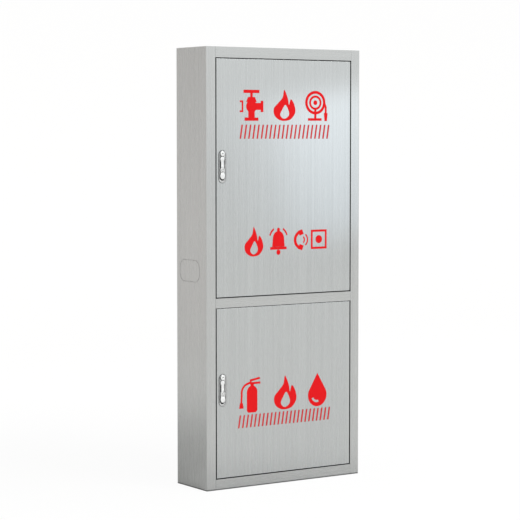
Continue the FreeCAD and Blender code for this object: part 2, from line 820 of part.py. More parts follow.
def latch(bay, lock):
    """The latch behind the lock: its case, the bevelled tongue, the spring and the two screws."""
    case_front = f"{FRONT} + lock_body_depth"
    case_back = f"{case_front} + case_depth"
    label = f"{bay}_latch_case"
    x = (f"{LOCK_X} - case_half_width", f"{LOCK_X} + case_half_width")
    z = (f"{lock} - case_low", f"{lock} + case_high")
    shell = box(f"{label}_shell", x, (case_front, case_back), z)
    hollow = box(
        f"{label}_hollow",
        (f"{x[0]} + {SHEET}", f"{x[1]} - {SHEET}"),
        (case_front, f"{case_back} - {SHEET}"),
        (f"{z[0]} + {SHEET}", f"{z[1]} - {SHEET}"),
    )
    tongue_y = (f"{FRONT} + tongue_front", f"{FRONT} + tongue_front + tongue_thickness")
    free = "tongue_mouth_clearance"
    mouth = box(
        f"{label}_mouth",
        (x[0], f"{x[0]} + {SHEET}"),
        (f"{tongue_y[0]} - {free}", f"{tongue_y[1]} + {free}"),
        (f"{lock} + tongue_low - {free}", f"{lock} + tongue_high + {free}"),
    )
    screws = []
    screw_holes = []
    for name, height in (("top", "lock_screw_top"), ("bottom", "lock_screw_bottom")):
        centre = (LOCK_X, f"{lock} + {height}")
        shank = rod(
            f"{bay}_{name}_screw_shank",
            "y",
            centre,
            "lock_screw_radius",
            (f"{case_front} - lock_screw_bite", case_back),
        )
        head = rod(
            f"{bay}_{name}_screw_head",
            "y",
            centre,
            "lock_screw_head_radius",
            (case_back, f"{case_back} + lock_screw_head"),
        )
        screws.append(joined(f"{bay}_{name}_lock_screw", shank, head))
        screw_holes.append(
            rod(
                f"{label}_{name}_hole",
                "y",
                centre,
                "lock_screw_radius + lock_screw_hole_clearance",
                (f"{case_back} - {SHEET}", case_back),
            )
        )
    keep(cut(label, shell, hollow, mouth, *screw_holes), group(f"{bay}_lock_screws", *screws))

    # The tongue's ramp leans so that the cam's drop of 6 mm draws the tongue back by 8 mm.
    ramp = "cam_half_width + tongue_ramp_start"
    tongue = document.addObject("PartDesign::Body", f"{bay}_tongue_blank")
    profile = outline(
        tongue,
        "XZ_Plane",
        [
            ("-tongue_tip", "tongue_low"),
            ("-tongue_step", "tongue_low"),
            ("-tongue_step", "tongue_arm_low"),
            ("tongue_arm", "tongue_arm_low"),
            ("tongue_arm", "lever_pivot_height"),
            (ramp, "lever_pivot_height"),
            (f"{ramp} - tongue_ramp_run", "tongue_high"),
            ("-tongue_tip", "tongue_high"),
        ],
        f"{bay}_tongue_outline",
    )
    pad = tongue.newObject("PartDesign::Pad", f"{bay}_tongue_pad")
    pad.Profile = profile
    bind(pad, Length="tongue_thickness")
    place(tongue, LOCK_X, tongue_y[1], lock)
    document.recompute()
    tip_x = min(vertex.X for vertex in tongue.Shape.Vertexes)
    back_y = max(vertex.Y for vertex in tongue.Shape.Vertexes)

    def tip_edge(edge):
        start, end = edge.Vertexes[0], edge.Vertexes[-1]
        at_tip = abs(start.X - tip_x) < 0.01 and abs(end.X - tip_x) < 0.01
        return at_tip and abs(start.Y - back_y) < 0.01 and abs(end.Y - back_y) < 0.01

    bevel = SIZES["tongue_bevel"]
    bevelled = document.addObject("Part::Chamfer", f"{bay}_latch_tongue")
    bevelled.Base = tongue
    bevelled.Edges = [
        (n, bevel, bevel) for n, edge in enumerate(tongue.Shape.Edges, start=1) if tip_edge(edge)
    ]
    spring = ring(
        f"{bay}_latch_spring",
        "x",
        (f"{FRONT} + tongue_front + tongue_thickness/2", f"{lock} + (tongue_low + tongue_high)/2"),
        "latch_spring_radius",
        "latch_spring_bore",
        (f"{LOCK_X} - latch_spring_seat", f"{x[1]} - {SHEET}"),
    )
    keep(bevelled, spring)


def riser():
    """The elbow that brings the riser in through the back, and the rubber grommet round it."""
    centre = ("valve_across", "riser_height")
    bends = []
    for name, radius in (("outside", "pipe_radius"), ("bore", "pipe_bore")):
        bend = document.addObject("Part::Torus", f"riser_elbow_bend_{name}")
        axes = FreeCAD.Rotation(
            FreeCAD.Vector(0, 0, -1), FreeCAD.Vector(0, -1, 0), FreeCAD.Vector(-1, 0, 0), "XYZ"
        )
        bend.Placement = FreeCAD.Placement(FreeCAD.Vector(), axes)
        bend.Angle3 = 90
        bind(bend, Radius1="elbow_radius", Radius2=radius)
        place(bend, "valve_across", "valve_depth + elbow_radius", VALVE_BASE)
        stub = rod(f"riser_elbow_stub_{name}", "y", centre, radius, ("valve_depth + elbow_radius", BACK))
        bends.append(joined(f"riser_elbow_{name}", bend, stub))
    keep(cut("riser_elbow", *bends))

    body = rod("grommet_body", "y", centre, "grommet_radius", (BACK_PANEL_FRONT, BACK))
    flange = rod(
        "grommet_flange_disc",
        "y",
        centre,
        "grommet_flange",
        (f"{BACK_PANEL_FRONT} - grommet_thickness", BACK_PANEL_FRONT),
    )
    bore = rod("grommet_bore", "y", centre, "pipe_radius", (f"{BACK_PANEL_FRONT} - grommet_thickness", BACK))
    keep(cut("pipe_grommet", joined("pipe_grommet_blank", body, flange), bore))


def landing_valve():
    """The valve body with its side outlet, bonnet, gland, stem, handwheel, disc and hose coupling."""
    spot = ("valve_across", "valve_depth", VALVE_BASE)
    outside = turned_piece(
        "valve_body_outside",
        [("0", "0"), ("collar_radius", "0"), ("collar_radius", "collar_top"),
         ("waist_radius", "waist_height"), ("belly_radius", "belly_low"), ("belly_radius", "belly_high"),
         ("neck_radius", "neck_low"), ("neck_radius", "body_top"), ("0", "body_top")],
        *spot,
    )
    cavity = turned_piece(
        "valve_body_cavity",
        [("0", "0"), ("pipe_bore", "0"), ("pipe_bore", "inlet_depth"), ("seat_bore", "seat_low"),
         ("seat_bore", "seat_top"), ("seat_floor_radius", "seat_top"), ("chamber_radius", "chamber_low"),
         ("chamber_radius", "belly_high"), ("throat_radius", "throat_low"), ("throat_radius", "body_top"),
         ("0", "body_top")],
        *spot,
    )
    branch_centre = ("valve_depth", f"{VALVE_BASE} + branch_height")
    branch_end = "valve_across + branch_length"
    branch = rod("valve_branch", "x", branch_centre, "pipe_radius", ("valve_across", branch_end))
    passage = rod(
        "valve_branch_bore", "x", branch_centre, "branch_bore", ("valve_across + branch_root", branch_end)
    )
    keep(cut("valve_body", joined("valve_body_cast", outside, branch), cavity, passage))

    bore = "stem_radius + running_clearance"
    keep(
        turned_piece(
            "valve_bonnet",
            [(bore, "body_top"), ("neck_radius", "body_top"), ("neck_radius", "bonnet_flange_top"),
             ("bonnet_shoulder_radius", "bonnet_shoulder"), ("bonnet_neck_radius", "bonnet_top"),
             (bore, "bonnet_top")],
            *spot,
        )
    )
    centre = ("valve_across", "valve_depth")
    gland_span = (f"{VALVE_BASE} + bonnet_top", f"{VALVE_BASE} + gland_top")
    gland = hexagon("gland_blank", centre, "gland_radius", gland_span)
    keep(cut("gland_nut", gland, rod("gland_bore", "z", centre, bore, gland_span)))

    # The stem turns in the disc's hub and rises with it.
    socket = "stem_tip_radius + running_clearance"
    keep(
        turned_piece(
            "seat_washer",
            [("0", "washer_low"), ("washer_radius", "washer_low"), ("washer_radius", "washer_top"),
             ("0", "washer_top")],
            *spot,
        ),
        turned_piece(
            "valve_disc",
            [("0", "washer_top"), ("disc_radius", "washer_top"), ("disc_radius", "disc_rim"),
             ("disc_hub_radius", "disc_hub_low"), ("disc_hub_radius", "disc_top"), (socket, "disc_top"),
             (socket, "disc_socket_floor"), ("0", "disc_socket_floor")],
            *spot,
        ),
        turned_piece(
            "valve_stem",
            [("0", "stem_tip_low"), ("stem_tip_radius", "stem_tip_low"), ("stem_tip_radius", "stem_shoulder"),
             ("stem_radius", "stem_shoulder"), ("stem_radius", "wheel_nut_top"), ("0", "wheel_nut_top")],
            *spot,
        ),
    )
    handwheel(centre)

    coupling_span = (branch_end, f"{branch_end} + coupling_length")
    shell = rod("coupling_shell", "x", branch_centre, "coupling_radius", coupling_span)
    lugs = [
        box(
            f"coupling_{name}_lug",
            (f"{branch_end} + coupling_length/2", f"{branch_end} + coupling_length"),
            ("valve_depth - coupling_lug_half_width", "valve_depth + coupling_lug_half_width"),
            (
                f"{branch_centre[1]} {way} coupling_radius - coupling_lug",
                f"{branch_centre[1]} {way} coupling_radius + coupling_lug",
            ),
        )
        for name, way in (("upper", "+"), ("lower", "-"))
    ]
    gasket_span = (f"{branch_end} + coupling_length - gasket_length", f"{branch_end} + coupling_length")
    groove = rod("coupling_groove", "x", branch_centre, "gasket_radius", gasket_span)
    way_out = rod("coupling_way_out", "x", branch_centre, "coupling_bore", coupling_span)
    keep(cut("outlet_coupling", joined("coupling_blank", shell, *lugs), groove, way_out))
    keep(ring("outlet_gasket", "x", branch_centre, "gasket_radius", "gasket_bore", gasket_span))


def handwheel(centre):
    """The handwheel: hub, rim and spokes, held by a nut on the stem."""
    count, first = 5, 18
    wheel_span = (f"{VALVE_BASE} + wheel_low", f"{VALVE_BASE} + wheel_high")
    hub = rod("handwheel_hub", "z", centre, "wheel_hub_radius", wheel_span)
    rim = document.addObject("Part::Torus", "handwheel_rim")
    bind(rim, Radius1="wheel_rim_radius", Radius2="wheel_rim_section")
    middle = f"{VALVE_BASE} + (wheel_low + wheel_high)/2"
    place(rim, *centre, middle)
    spokes = []
    for n in range(count):
        spoke = document.addObject("Part::Cylinder", f"handwheel_spoke_{n}")
        swing = FreeCAD.Rotation(FreeCAD.Vector(0, 0, 1), 360 / count * n + first)
        spoke.Placement = FreeCAD.Placement(FreeCAD.Vector(), swing * TURNED["x"])
        bind(spoke, Radius="wheel_spoke_radius", Height="wheel_rim_radius")
        spokes.append(place(spoke, *centre, middle))
    bore = rod("handwheel_bore", "z", centre, "stem_radius", wheel_span)
    keep(cut("handwheel", joined("handwheel_cast", hub, rim, *spokes), bore))
    nut_span = (wheel_span[1], f"{VALVE_BASE} + wheel_nut_top")
    nut = hexagon("handwheel_nut_blank", centre, "wheel_nut_radius", nut_span)
    keep(cut("handwheel_nut", nut, rod("handwheel_nut_bore", "z", centre, "stem_radius", nut_span)))


def hose_rack():
    """The welded rack on the back wall: a plate and three arms with turned-up tips."""
    plate = box(
        "rack_plate_bar",
        ("rack_left", "rack_right"),
        (f"{BACK_PANEL_FRONT} - rack_plate", BACK_PANEL_FRONT),
        ("rack_low", "rack_high"),
    )
    pieces = [plate]
    pitch = "(rack_right - rack_left - 2*rack_arm_inset)/2"
    for n in range(3):
        x = f"rack_left + rack_arm_inset + {n}*{pitch}"
        arm_span = ("rack_arm_end", f"{BACK_PANEL_FRONT} - rack_plate")
        pieces.append(rod(f"rack_arm_{n}", "y", (x, "rack_arm_height"), "rack_arm_radius", arm_span))
        tip_span = ("rack_arm_height - rack_arm_radius", "rack_arm_height + rack_arm_tip")
        pieces.append(rod(f"rack_tip_{n}", "z", (x, "rack_arm_end"), "rack_arm_radius", tip_span))
    keep(joined("hose_rack", *pieces))


def nozzle():
    """The branch nozzle, upright, its hose coupling, and the two clips that hold it to the back wall."""
    spot = ("nozzle_across", "nozzle_depth", "nozzle_base")
    keep(
        turned_piece(
            "nozzle_barrel",
            [("nozzle_base_bore", "0"), ("nozzle_base_radius", "0"),
             ("nozzle_base_radius", "nozzle_taper_low"), ("nozzle_neck_radius", "nozzle_taper_high"),
             ("nozzle_tip_radius", "nozzle_tip_low"), ("nozzle_tip_radius", "nozzle_top"),
             ("nozzle_jet_bore", "nozzle_top"), ("nozzle_jet_bore", "nozzle_taper_high"),
             ("nozzle_base_bore", "nozzle_taper_low")],
            *spot,
        )
    )
    shell = ring(
        "nozzle_coupling_shell",
        "z",
        spot[:2],
        "nozzle_coupling_radius",
        "nozzle_base_radius",
        ("nozzle_base", "nozzle_base + nozzle_coupling_length"),
    )
    lugs = [
        box(
            f"nozzle_{name}_lug",
            tuple(f"nozzle_across {way} nozzle_coupling_radius {end} nozzle_lug" for end in "-+"),
            ("nozzle_depth - nozzle_lug_half_width", "nozzle_depth + nozzle_lug_half_width"),
            ("nozzle_base", "nozzle_base + nozzle_lug_height"),
        )
        for name, way in (("right", "+"), ("left", "-"))
    ]
    keep(joined("nozzle_coupling", shell, *lugs))

    clips = []
    for name in ("lower", "upper"):
        half = f"{name}_clip_half_gap"
        z = (f"nozzle_base + {name}_clip_low", f"nozzle_base + {name}_clip_low + clip_height")
        left = (f"nozzle_across - {half} - clip_thickness", f"nozzle_across - {half}")
        right = (f"nozzle_across + {half}", f"nozzle_across + {half} + clip_thickness")
        base_y = (f"{BACK_PANEL_FRONT} - clip_thickness", BACK_PANEL_FRONT)
        arm_y = ("clip_arm_end", BACK_PANEL_FRONT)
        base = box(f"{name}_clip_base", (left[0], right[1]), base_y, z)
        arms = [box(f"{name}_clip_{side}_arm", x, arm_y, z) for side, x in (("left", left), ("right", right))]
        clips.append(joined(f"{name}_nozzle_clip", base, *arms))
    keep(group("nozzle_clips", *clips))


def build():
    """Make every sub-part of the cabinet."""
    for side in ("left", "right"):
        side_panel(side)
    top = OPENINGS["upper"][1]
    end_panel(
        "top_panel",
        (f"cabinet_height - {SHEET}", "cabinet_height"),
        ("cabinet_height - back_flange", "cabinet_height"),
        (top, "cabinet_height"),
        top,
        "+",
    )
    end_panel("bottom_panel", ("0", SHEET), ("0", "back_flange"), ("0", "frame_face"), "frame_face", "-")
    mid_rail()
    back_panel()
    door_pivots()
    for bay, (low, high, lock) in OPENINGS.items():
        door_seal(bay, low, high)
        door(bay, low, high, lock)
        lock_housing(bay, lock)
        lock_lever(bay, lock)
        latch(bay, lock)
    riser()
    landing_valve()
    hose_rack()
    nozzle()


def check():
    """Stop if any object failed or any sub-part has no sound shape."""
    document.recompute()
    for item in document.Objects:
        if "Invalid" in item.State or "Error" in item.State:
            raise RuntimeError(f"{item.Label} is {item.State}")
    for item in nodes:
        if item.Shape.isNull() or not item.Shape.isValid() or not item.Shape.Solids:
            raise RuntimeError(f"{item.Label} has no sound shape")


def write():
    """Write one STEP file for each sub-part."""
    os.makedirs("parts", exist_ok=True)
    for item in nodes:
        item.Shape.exportStep(os.path.join("parts", f"{item.Label}.step"))


fill_sheet()
build()
check()
write()
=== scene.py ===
"""Standpipe cabinet: finishes, lever locks, latch springs, door signs and a studio, made round the frame."""

import json
import math

import bmesh
import bpy
from bpy.props import FloatProperty, FloatVectorProperty, PointerProperty
from mathutils import Matrix, Vector


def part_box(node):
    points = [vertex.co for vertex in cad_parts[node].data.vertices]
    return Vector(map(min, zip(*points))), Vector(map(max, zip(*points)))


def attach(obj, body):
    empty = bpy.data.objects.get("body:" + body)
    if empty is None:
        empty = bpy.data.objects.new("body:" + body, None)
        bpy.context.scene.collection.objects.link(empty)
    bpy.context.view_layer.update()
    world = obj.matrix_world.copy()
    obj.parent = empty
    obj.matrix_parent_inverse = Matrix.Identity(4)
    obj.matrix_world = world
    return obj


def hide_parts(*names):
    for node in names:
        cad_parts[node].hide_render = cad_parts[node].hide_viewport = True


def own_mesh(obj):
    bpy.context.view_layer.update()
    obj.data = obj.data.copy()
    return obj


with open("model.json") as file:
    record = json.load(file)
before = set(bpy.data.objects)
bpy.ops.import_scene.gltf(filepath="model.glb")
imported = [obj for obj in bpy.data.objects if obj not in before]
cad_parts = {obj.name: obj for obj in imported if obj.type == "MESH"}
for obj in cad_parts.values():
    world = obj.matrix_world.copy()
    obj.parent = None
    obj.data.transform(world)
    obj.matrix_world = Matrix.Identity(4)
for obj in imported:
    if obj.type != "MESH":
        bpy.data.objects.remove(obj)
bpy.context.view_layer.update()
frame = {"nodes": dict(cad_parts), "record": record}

bl_info = {
    "name": "Standpipe Cabinet",
    "version": (1, 0, 0),
    "blender": (4, 5, 0),
    "location": "View3D > Sidebar > Cabinet",
    "description": "Finishes, locks, signs and a studio for a two-bay standpipe cabinet",
    "category": "Object",
}

BAYS = ("upper", "lower")
LEVEL_GRAIN_PARTS = ("top_panel", "bottom_panel", "mid_rail", "divider_shelf")
MM = 0.001


# ---------------------------------------------------------------- settings


class SteelSettings(bpy.types.PropertyGroup):
    """Colours of the folded stainless case and doors."""

    case_colour: FloatVectorProperty(
        name="Case", description="Reflected colour of the case", subtype="COLOR",
        default=(0.615, 0.622, 0.622)
    )
    door_colour: FloatVectorProperty(
        name="Doors", description="Reflected colour of the doors", subtype="COLOR",
        default=(0.62, 0.635, 0.64)
    )
    roughness: FloatProperty(
        name="Roughness", description="Blur of the reflections", subtype="FACTOR",
        default=0.26, min=0, max=1
    )


class SignSettings(bpy.types.PropertyGroup):
    """The red signs on the two doors."""

    colour: FloatVectorProperty(
        name="Sign", description="Colour of the signs", subtype="COLOR", default=(0.74, 0.004, 0.007)
    )
    band_colour: FloatVectorProperty(
        name="Bands", description="Colour of the hatched bands", subtype="COLOR",
        default=(0.60, 0.03, 0.035)
    )
    thickness: FloatProperty(
        name="Thickness", description="How far a sign stands out of the door", unit="LENGTH",
        default=0.00016
    )


class LockSettings(bpy.types.PropertyGroup):
    """The chrome lever locks."""

    colour: FloatVectorProperty(
        name="Chrome", description="Reflected colour of the chrome", subtype="COLOR",
        default=(0.94, 0.945, 0.95)
    )
    plate_colour: FloatVectorProperty(
        name="Plate", description="Reflected colour of the face plate", subtype="COLOR",
        default=(0.68, 0.69, 0.70)
    )
    edge: FloatProperty(
        name="Edge", description="Roundness of the face plate's edge", unit="LENGTH", default=0.0012
    )


class StudioSettings(bpy.types.PropertyGroup):
    """Camera and light."""

    lens: FloatProperty(name="Lens", description="Focal length in millimetres", default=132.69)
    azimuth: FloatProperty(
        name="Azimuth", description="Camera's turn about the cabinet", unit="ROTATION",
        default=math.radians(-33.664)
    )
    elevation: FloatProperty(
        name="Elevation", description="How far the camera looks down", unit="ROTATION",
        default=math.radians(3.758)
    )
    place: FloatVectorProperty(
        name="Place", description="Where the camera stands", subtype="XYZ", unit="LENGTH",
        default=(-4.10036, -6.09213, 1.32758)
    )


class CabinetSettings(bpy.types.PropertyGroup):
    """All of the cabinet's settings."""

    steel: PointerProperty(type=SteelSettings)
    signs: PointerProperty(type=SignSettings)
    locks: PointerProperty(type=LockSettings)
    studio: PointerProperty(type=StudioSettings)


def settings():
    """The settings that the operators read."""
    return bpy.context.scene.cabinet


# ---------------------------------------------------------------- shader node groups


def new_group(name, inputs, outputs):
    """An empty shader group with its sockets, and its two end nodes."""
    group = bpy.data.node_groups.new(name, "ShaderNodeTree")
    for label, kind, default in inputs:
        group.interface.new_socket(label, in_out="INPUT", socket_type=kind).default_value = default
    for label, kind in outputs:
        group.interface.new_socket(label, in_out="OUTPUT", socket_type=kind)
    return group, group.nodes.new("NodeGroupInput"), group.nodes.new("NodeGroupOutput")


def add(tree, kind, links=None, **values):
    """A node with its attributes set and its sockets linked or given values."""
    node = tree.nodes.new(kind)
    for name, value in values.items():
        setattr(node, name, value)
    for socket, value in (links or {}).items():
        if isinstance(value, bpy.types.NodeSocket):
            tree.links.new(value, node.inputs[socket])
        else:
            node.inputs[socket].default_value = value
    return node


def noise(tree, vector, scale, detail=3.0, roughness=0.55):
    """A noise texture's value."""
    links = {"Vector": vector, "Scale": scale, "Detail": detail, "Roughness": roughness}
    return add(tree, "ShaderNodeTexNoise", links).outputs["Fac"]


def spread(tree, value, low, high, to_low=0.0, to_high=1.0):
    """A value stretched from one range to another and kept inside it."""
    links = {"Value": value, "From Min": low, "From Max": high, "To Min": to_low, "To Max": to_high}
    return add(tree, "ShaderNodeMapRange", links, clamp=True).outputs["Result"]


def shared_group(name, make):
    """The shader group of that name, made once."""
    return bpy.data.node_groups.get(name) or make(name)


def brushed_grain(name):
    """Brush lines: fine and broad streaks and a scratched normal; Grain is the lines a metre each way."""
    group, start, end = new_group(
        name,
        [("Grain", "NodeSocketVector", (700.0, 700.0, 5.0)), ("Depth", "NodeSocketFloat", 0.08)],
        [("Fine", "NodeSocketFloat"), ("Broad", "NodeSocketFloat"), ("Normal", "NodeSocketVector")],
    )
    place = add(group, "ShaderNodeTexCoord").outputs["Object"]
    stretch = {0: place, 1: start.outputs["Grain"]}
    close = add(group, "ShaderNodeVectorMath", stretch, operation="MULTIPLY").outputs[0]
    wide = add(group, "ShaderNodeVectorMath", {0: close, "Scale": 0.17}, operation="SCALE").outputs[0]
    fine = noise(group, close, 1.0, 4.0, 0.65)
    broad = noise(group, wide, 1.0, 2.0, 0.5)
    scratches = {"Strength": start.outputs["Depth"], "Distance": 0.0004, "Height": fine}
    bump = add(group, "ShaderNodeBump", scratches)
    group.links.new(spread(group, fine, 0.3, 0.7), end.inputs["Fine"])
    group.links.new(spread(group, broad, 0.32, 0.68), end.inputs["Broad"])
    group.links.new(bump.outputs["Normal"], end.inputs["Normal"])
    return group


def edge_wear(name):
    """A mask of the sharp edges, broken up by noise."""
    group, start, end = new_group(
        name,
        [("Width", "NodeSocketFloat", 0.001), ("Breakup", "NodeSocketFloat", 90.0)],
        [("Mask", "NodeSocketFloat")],
    )
    bevel = add(group, "ShaderNodeBevel", {"Radius": start.outputs["Width"]}, samples=4)
    true = add(group, "ShaderNodeNewGeometry").outputs["Normal"]
    agree = add(group, "ShaderNodeVectorMath", {0: bevel.outputs[0], 1: true}, operation="DOT_PRODUCT")
    place = add(group, "ShaderNodeTexCoord").outputs["Object"]
    patchy = spread(group, noise(group, place, start.outputs["Breakup"]), 0.35, 0.65)
    edge = spread(group, agree.outputs["Value"], 0.995, 0.86)
    product = add(group, "ShaderNodeMath", {0: edge, 1: patchy}, operation="MULTIPLY")
    group.links.new(product.outputs[0], end.inputs["Mask"])
    return group


def settled_dust(name):
    """A mask of dust on what faces up, thicker in patches."""
    group, start, end = new_group(
        name, [("Amount", "NodeSocketFloat", 0.3)], [("Mask", "NodeSocketFloat")]
    )
    normal = add(group, "ShaderNodeNewGeometry").outputs["Normal"]
    up = add(group, "ShaderNodeSeparateXYZ", {0: normal}).outputs["Z"]
    place = add(group, "ShaderNodeTexCoord").outputs["Object"]
    patchy = spread(group, noise(group, place, 24.0, 5.0), 0.3, 0.75)
    facing = spread(group, up, 0.4, 1.0)
    both = add(group, "ShaderNodeMath", {0: facing, 1: patchy}, operation="MULTIPLY").outputs[0]
    scaled = add(group, "ShaderNodeMath", {0: both, 1: start.outputs["Amount"]}, operation="MULTIPLY")
    group.links.new(scaled.outputs[0], end.inputs["Mask"])
    return group


def crevice_shade(name):
    """A mask of narrow gaps and tight corners for painted shade where little light reaches, broken up by
    noise.
    """
    group, start, end = new_group(
        name, [("Reach", "NodeSocketFloat", 0.006)], [("Mask", "NodeSocketFloat")]
    )
    near = add(group, "ShaderNodeAmbientOcclusion", {"Distance": start.outputs["Reach"]}, samples=6)
    place = add(group, "ShaderNodeTexCoord").outputs["Object"]
    uneven = spread(group, noise(group, place, 55.0, 3.0), 0.3, 0.7, -0.03, 0.03)
    total = add(group, "ShaderNodeMath", {0: near.outputs["AO"], 1: uneven}, operation="ADD")
    group.links.new(spread(group, total.outputs[0], 0.96, 0.70), end.inputs["Mask"])
    return group


def cast_skin(name):
    """The pebbled skin of a sand casting or thick enamel: a normal and a slow tone."""
    group, start, end = new_group(
        name,
        [("Scale", "NodeSocketFloat", 420.0), ("Depth", "NodeSocketFloat", 0.25)],
        [("Tone", "NodeSocketFloat"), ("Normal", "NodeSocketVector")],
    )
    place = add(group, "ShaderNodeTexCoord").outputs["Object"]
    pebbles = noise(group, place, start.outputs["Scale"], 4.0, 0.6)
    tone = spread(group, noise(group, place, 18.0, 4.0), 0.3, 0.7)
    relief = {"Strength": start.outputs["Depth"], "Distance": 0.0006, "Height": pebbles}
    bump = add(group, "ShaderNodeBump", relief)
    group.links.new(tone, end.inputs["Tone"])
    group.links.new(bump.outputs["Normal"], end.inputs["Normal"])
    return group


# ---------------------------------------------------------------- materials


def empty_tree(owner):
    """The emptied node tree of a material or a world."""
    owner.use_nodes = True
    owner.node_tree.nodes.clear()
    return owner.node_tree


def new_material(name):
    """A material with its tree, its shader and its output."""
    made = bpy.data.materials.new(name)
    tree = empty_tree(made)
    shader = add(tree, "ShaderNodeBsdfPrincipled")
    add(tree, "ShaderNodeOutputMaterial", {"Surface": shader.outputs["BSDF"]})
    return made, tree, shader


def group_node(tree, name, make, **values):
    """A shared group placed in a material with its own values."""
    node = add(tree, "ShaderNodeGroup", node_tree=shared_group(name, make))
    for socket, value in values.items():
        node.inputs[socket].default_value = value
    return node


def mixed(tree, factor, first, second):
    """A colour between two others; each is a colour or a socket."""
    colour_sockets, colour_result = (6, 7), 2
    links = {"Factor": factor}
    for index, value in zip(colour_sockets, (first, second)):
        links[index] = value if isinstance(value, bpy.types.NodeSocket) else (*value, 1.0)
    return add(tree, "ShaderNodeMix", links, data_type="RGBA").outputs[colour_result]


def shade(colour, factor):
    """A colour made darker or lighter."""
    return tuple(min(1.0, channel * factor) for channel in colour)


def tones(tree, mask, colour, contrast):
    """A colour that a mask takes from a share darker to the same share lighter."""
    return mixed(tree, mask, shade(colour, 1 - contrast), shade(colour, 1 + contrast))


def steel(name, colour, roughness, grain, contrast):
    """Brushed stainless sheet: grain, broad streaks, bright worn edges, painted shade in the gaps and a
    little dust on top.
    """
    # The near-black second colour is painted shade for gaps and tight corners.
    dust_colour, painted_shade_colour = (0.36, 0.34, 0.31), (0.008, 0.008, 0.008)
    made, tree, shader = new_material(name)
    lines = group_node(tree, "Brushed Grain", brushed_grain, Grain=grain, Depth=0.08)
    wear = group_node(tree, "Edge Wear", edge_wear, Width=0.0012)
    dirt = group_node(tree, "Settled Dust", settled_dust, Amount=0.25)
    crevice = group_node(tree, "Crevice Shade", crevice_shade)
    fine = tones(tree, lines.outputs["Fine"], colour, contrast / 2)
    broad = tones(tree, lines.outputs["Broad"], colour, contrast)
    worn = mixed(tree, wear.outputs["Mask"], mixed(tree, 0.5, fine, broad), shade(colour, 1.35))
    dusty = mixed(tree, dirt.outputs["Mask"], worn, dust_colour)
    # Painted shade: the crevice mask darkens gaps and tight corners towards near black.
    with_painted_shade = mixed(tree, crevice.outputs["Mask"], dusty, painted_shade_colour)
    tree.links.new(with_painted_shade, shader.inputs["Base Color"])
    rough = spread(tree, lines.outputs["Fine"], 0.0, 1.0, roughness - 0.05, roughness + 0.05)
    tree.links.new(rough, shader.inputs["Roughness"])
    tree.links.new(lines.outputs["Normal"], shader.inputs["Normal"])
    metal = spread(tree, dirt.outputs["Mask"], 0.0, 1.0, 1.0, 0.0)
    tree.links.new(metal, shader.inputs["Metallic"])
    shader.inputs["Anisotropic"].default_value = 0.65
    tangent = add(tree, "ShaderNodeTangent", direction_type="RADIAL", axis="Z")
    tree.links.new(tangent.outputs[0], shader.inputs["Tangent"])
    return made


def plain_metal(name, colour, roughness, spots, depth, metallic=1.0, reach=0.003):
    """Machined or plated metal: faint mottling, uneven gloss, bright edges and painted shade in tight
    corners.
    """
    # The near-black colour is painted shade for tight corners.
    painted_shade_colour = (0.012, 0.012, 0.012)
    made, tree, shader = new_material(name)
    skin = group_node(tree, "Cast Skin", cast_skin, Scale=spots, Depth=depth)
    wear = group_node(tree, "Edge Wear", edge_wear, Width=0.0006)
    tone = mixed(tree, skin.outputs["Tone"], shade(colour, 0.88), shade(colour, 1.06))
    worn = mixed(tree, wear.outputs["Mask"], tone, shade(colour, 1.3))
    crevice = group_node(tree, "Crevice Shade", crevice_shade, Reach=reach)
    # Painted shade: the crevice mask darkens tight corners towards near black.
    with_painted_shade = mixed(tree, crevice.outputs["Mask"], worn, painted_shade_colour)
    tree.links.new(with_painted_shade, shader.inputs["Base Color"])
    rough = spread(tree, skin.outputs["Tone"], 0.0, 1.0, roughness * 0.75, roughness * 1.3)
    tree.links.new(rough, shader.inputs["Roughness"])
    tree.links.new(skin.outputs["Normal"], shader.inputs["Normal"])
    shader.inputs["Metallic"].default_value = metallic
    return made


def enamel(name, colour, bare, roughness, pebbles, depth):
    """Enamel over metal: pebbled skin, uneven tone, chipped edges and settled dust."""
    dust_colour = (0.33, 0.30, 0.27)
    made, tree, shader = new_material(name)
    skin = group_node(tree, "Cast Skin", cast_skin, Scale=pebbles, Depth=depth)
    wear = group_node(tree, "Edge Wear", edge_wear, Width=0.0016, Breakup=140.0)
    dirt = group_node(tree, "Settled Dust", settled_dust, Amount=0.3)
    chips = spread(tree, wear.outputs["Mask"], 0.45, 0.75)
    tone = mixed(tree, skin.outputs["Tone"], shade(colour, 0.8), shade(colour, 1.12))
    chipped = mixed(tree, chips, tone, bare)
    dusty = mixed(tree, dirt.outputs["Mask"], chipped, dust_colour)
    tree.links.new(dusty, shader.inputs["Base Color"])
    rough = spread(tree, skin.outputs["Tone"], 0.0, 1.0, roughness - 0.06, roughness + 0.1)
    tree.links.new(rough, shader.inputs["Roughness"])
    tree.links.new(chips, shader.inputs["Metallic"])
    tree.links.new(skin.outputs["Normal"], shader.inputs["Normal"])
    shader.inputs["Coat Weight"].default_value = 0.25
    shader.inputs["Coat Roughness"].default_value = 0.12
    return made


def soft_polymer(name, colour, roughness, pebbles):
    """Rubber or nylon: a fine matt skin with a dusty bloom."""
    bloom = (0.2, 0.19, 0.18)
    made, tree, shader = new_material(name)
    skin = group_node(tree, "Cast Skin", cast_skin, Scale=pebbles, Depth=0.3)
    dirt = group_node(tree, "Settled Dust", settled_dust, Amount=0.35)
    tone = mixed(tree, skin.outputs["Tone"], colour, shade(colour, 1.6))
    dusty = mixed(tree, dirt.outputs["Mask"], tone, bloom)
    tree.links.new(dusty, shader.inputs["Base Color"])
    rough = spread(tree, skin.outputs["Tone"], 0.0, 1.0, roughness - 0.08, roughness + 0.08)
    tree.links.new(rough, shader.inputs["Roughness"])
    tree.links.new(skin.outputs["Normal"], shader.inputs["Normal"])
    return made


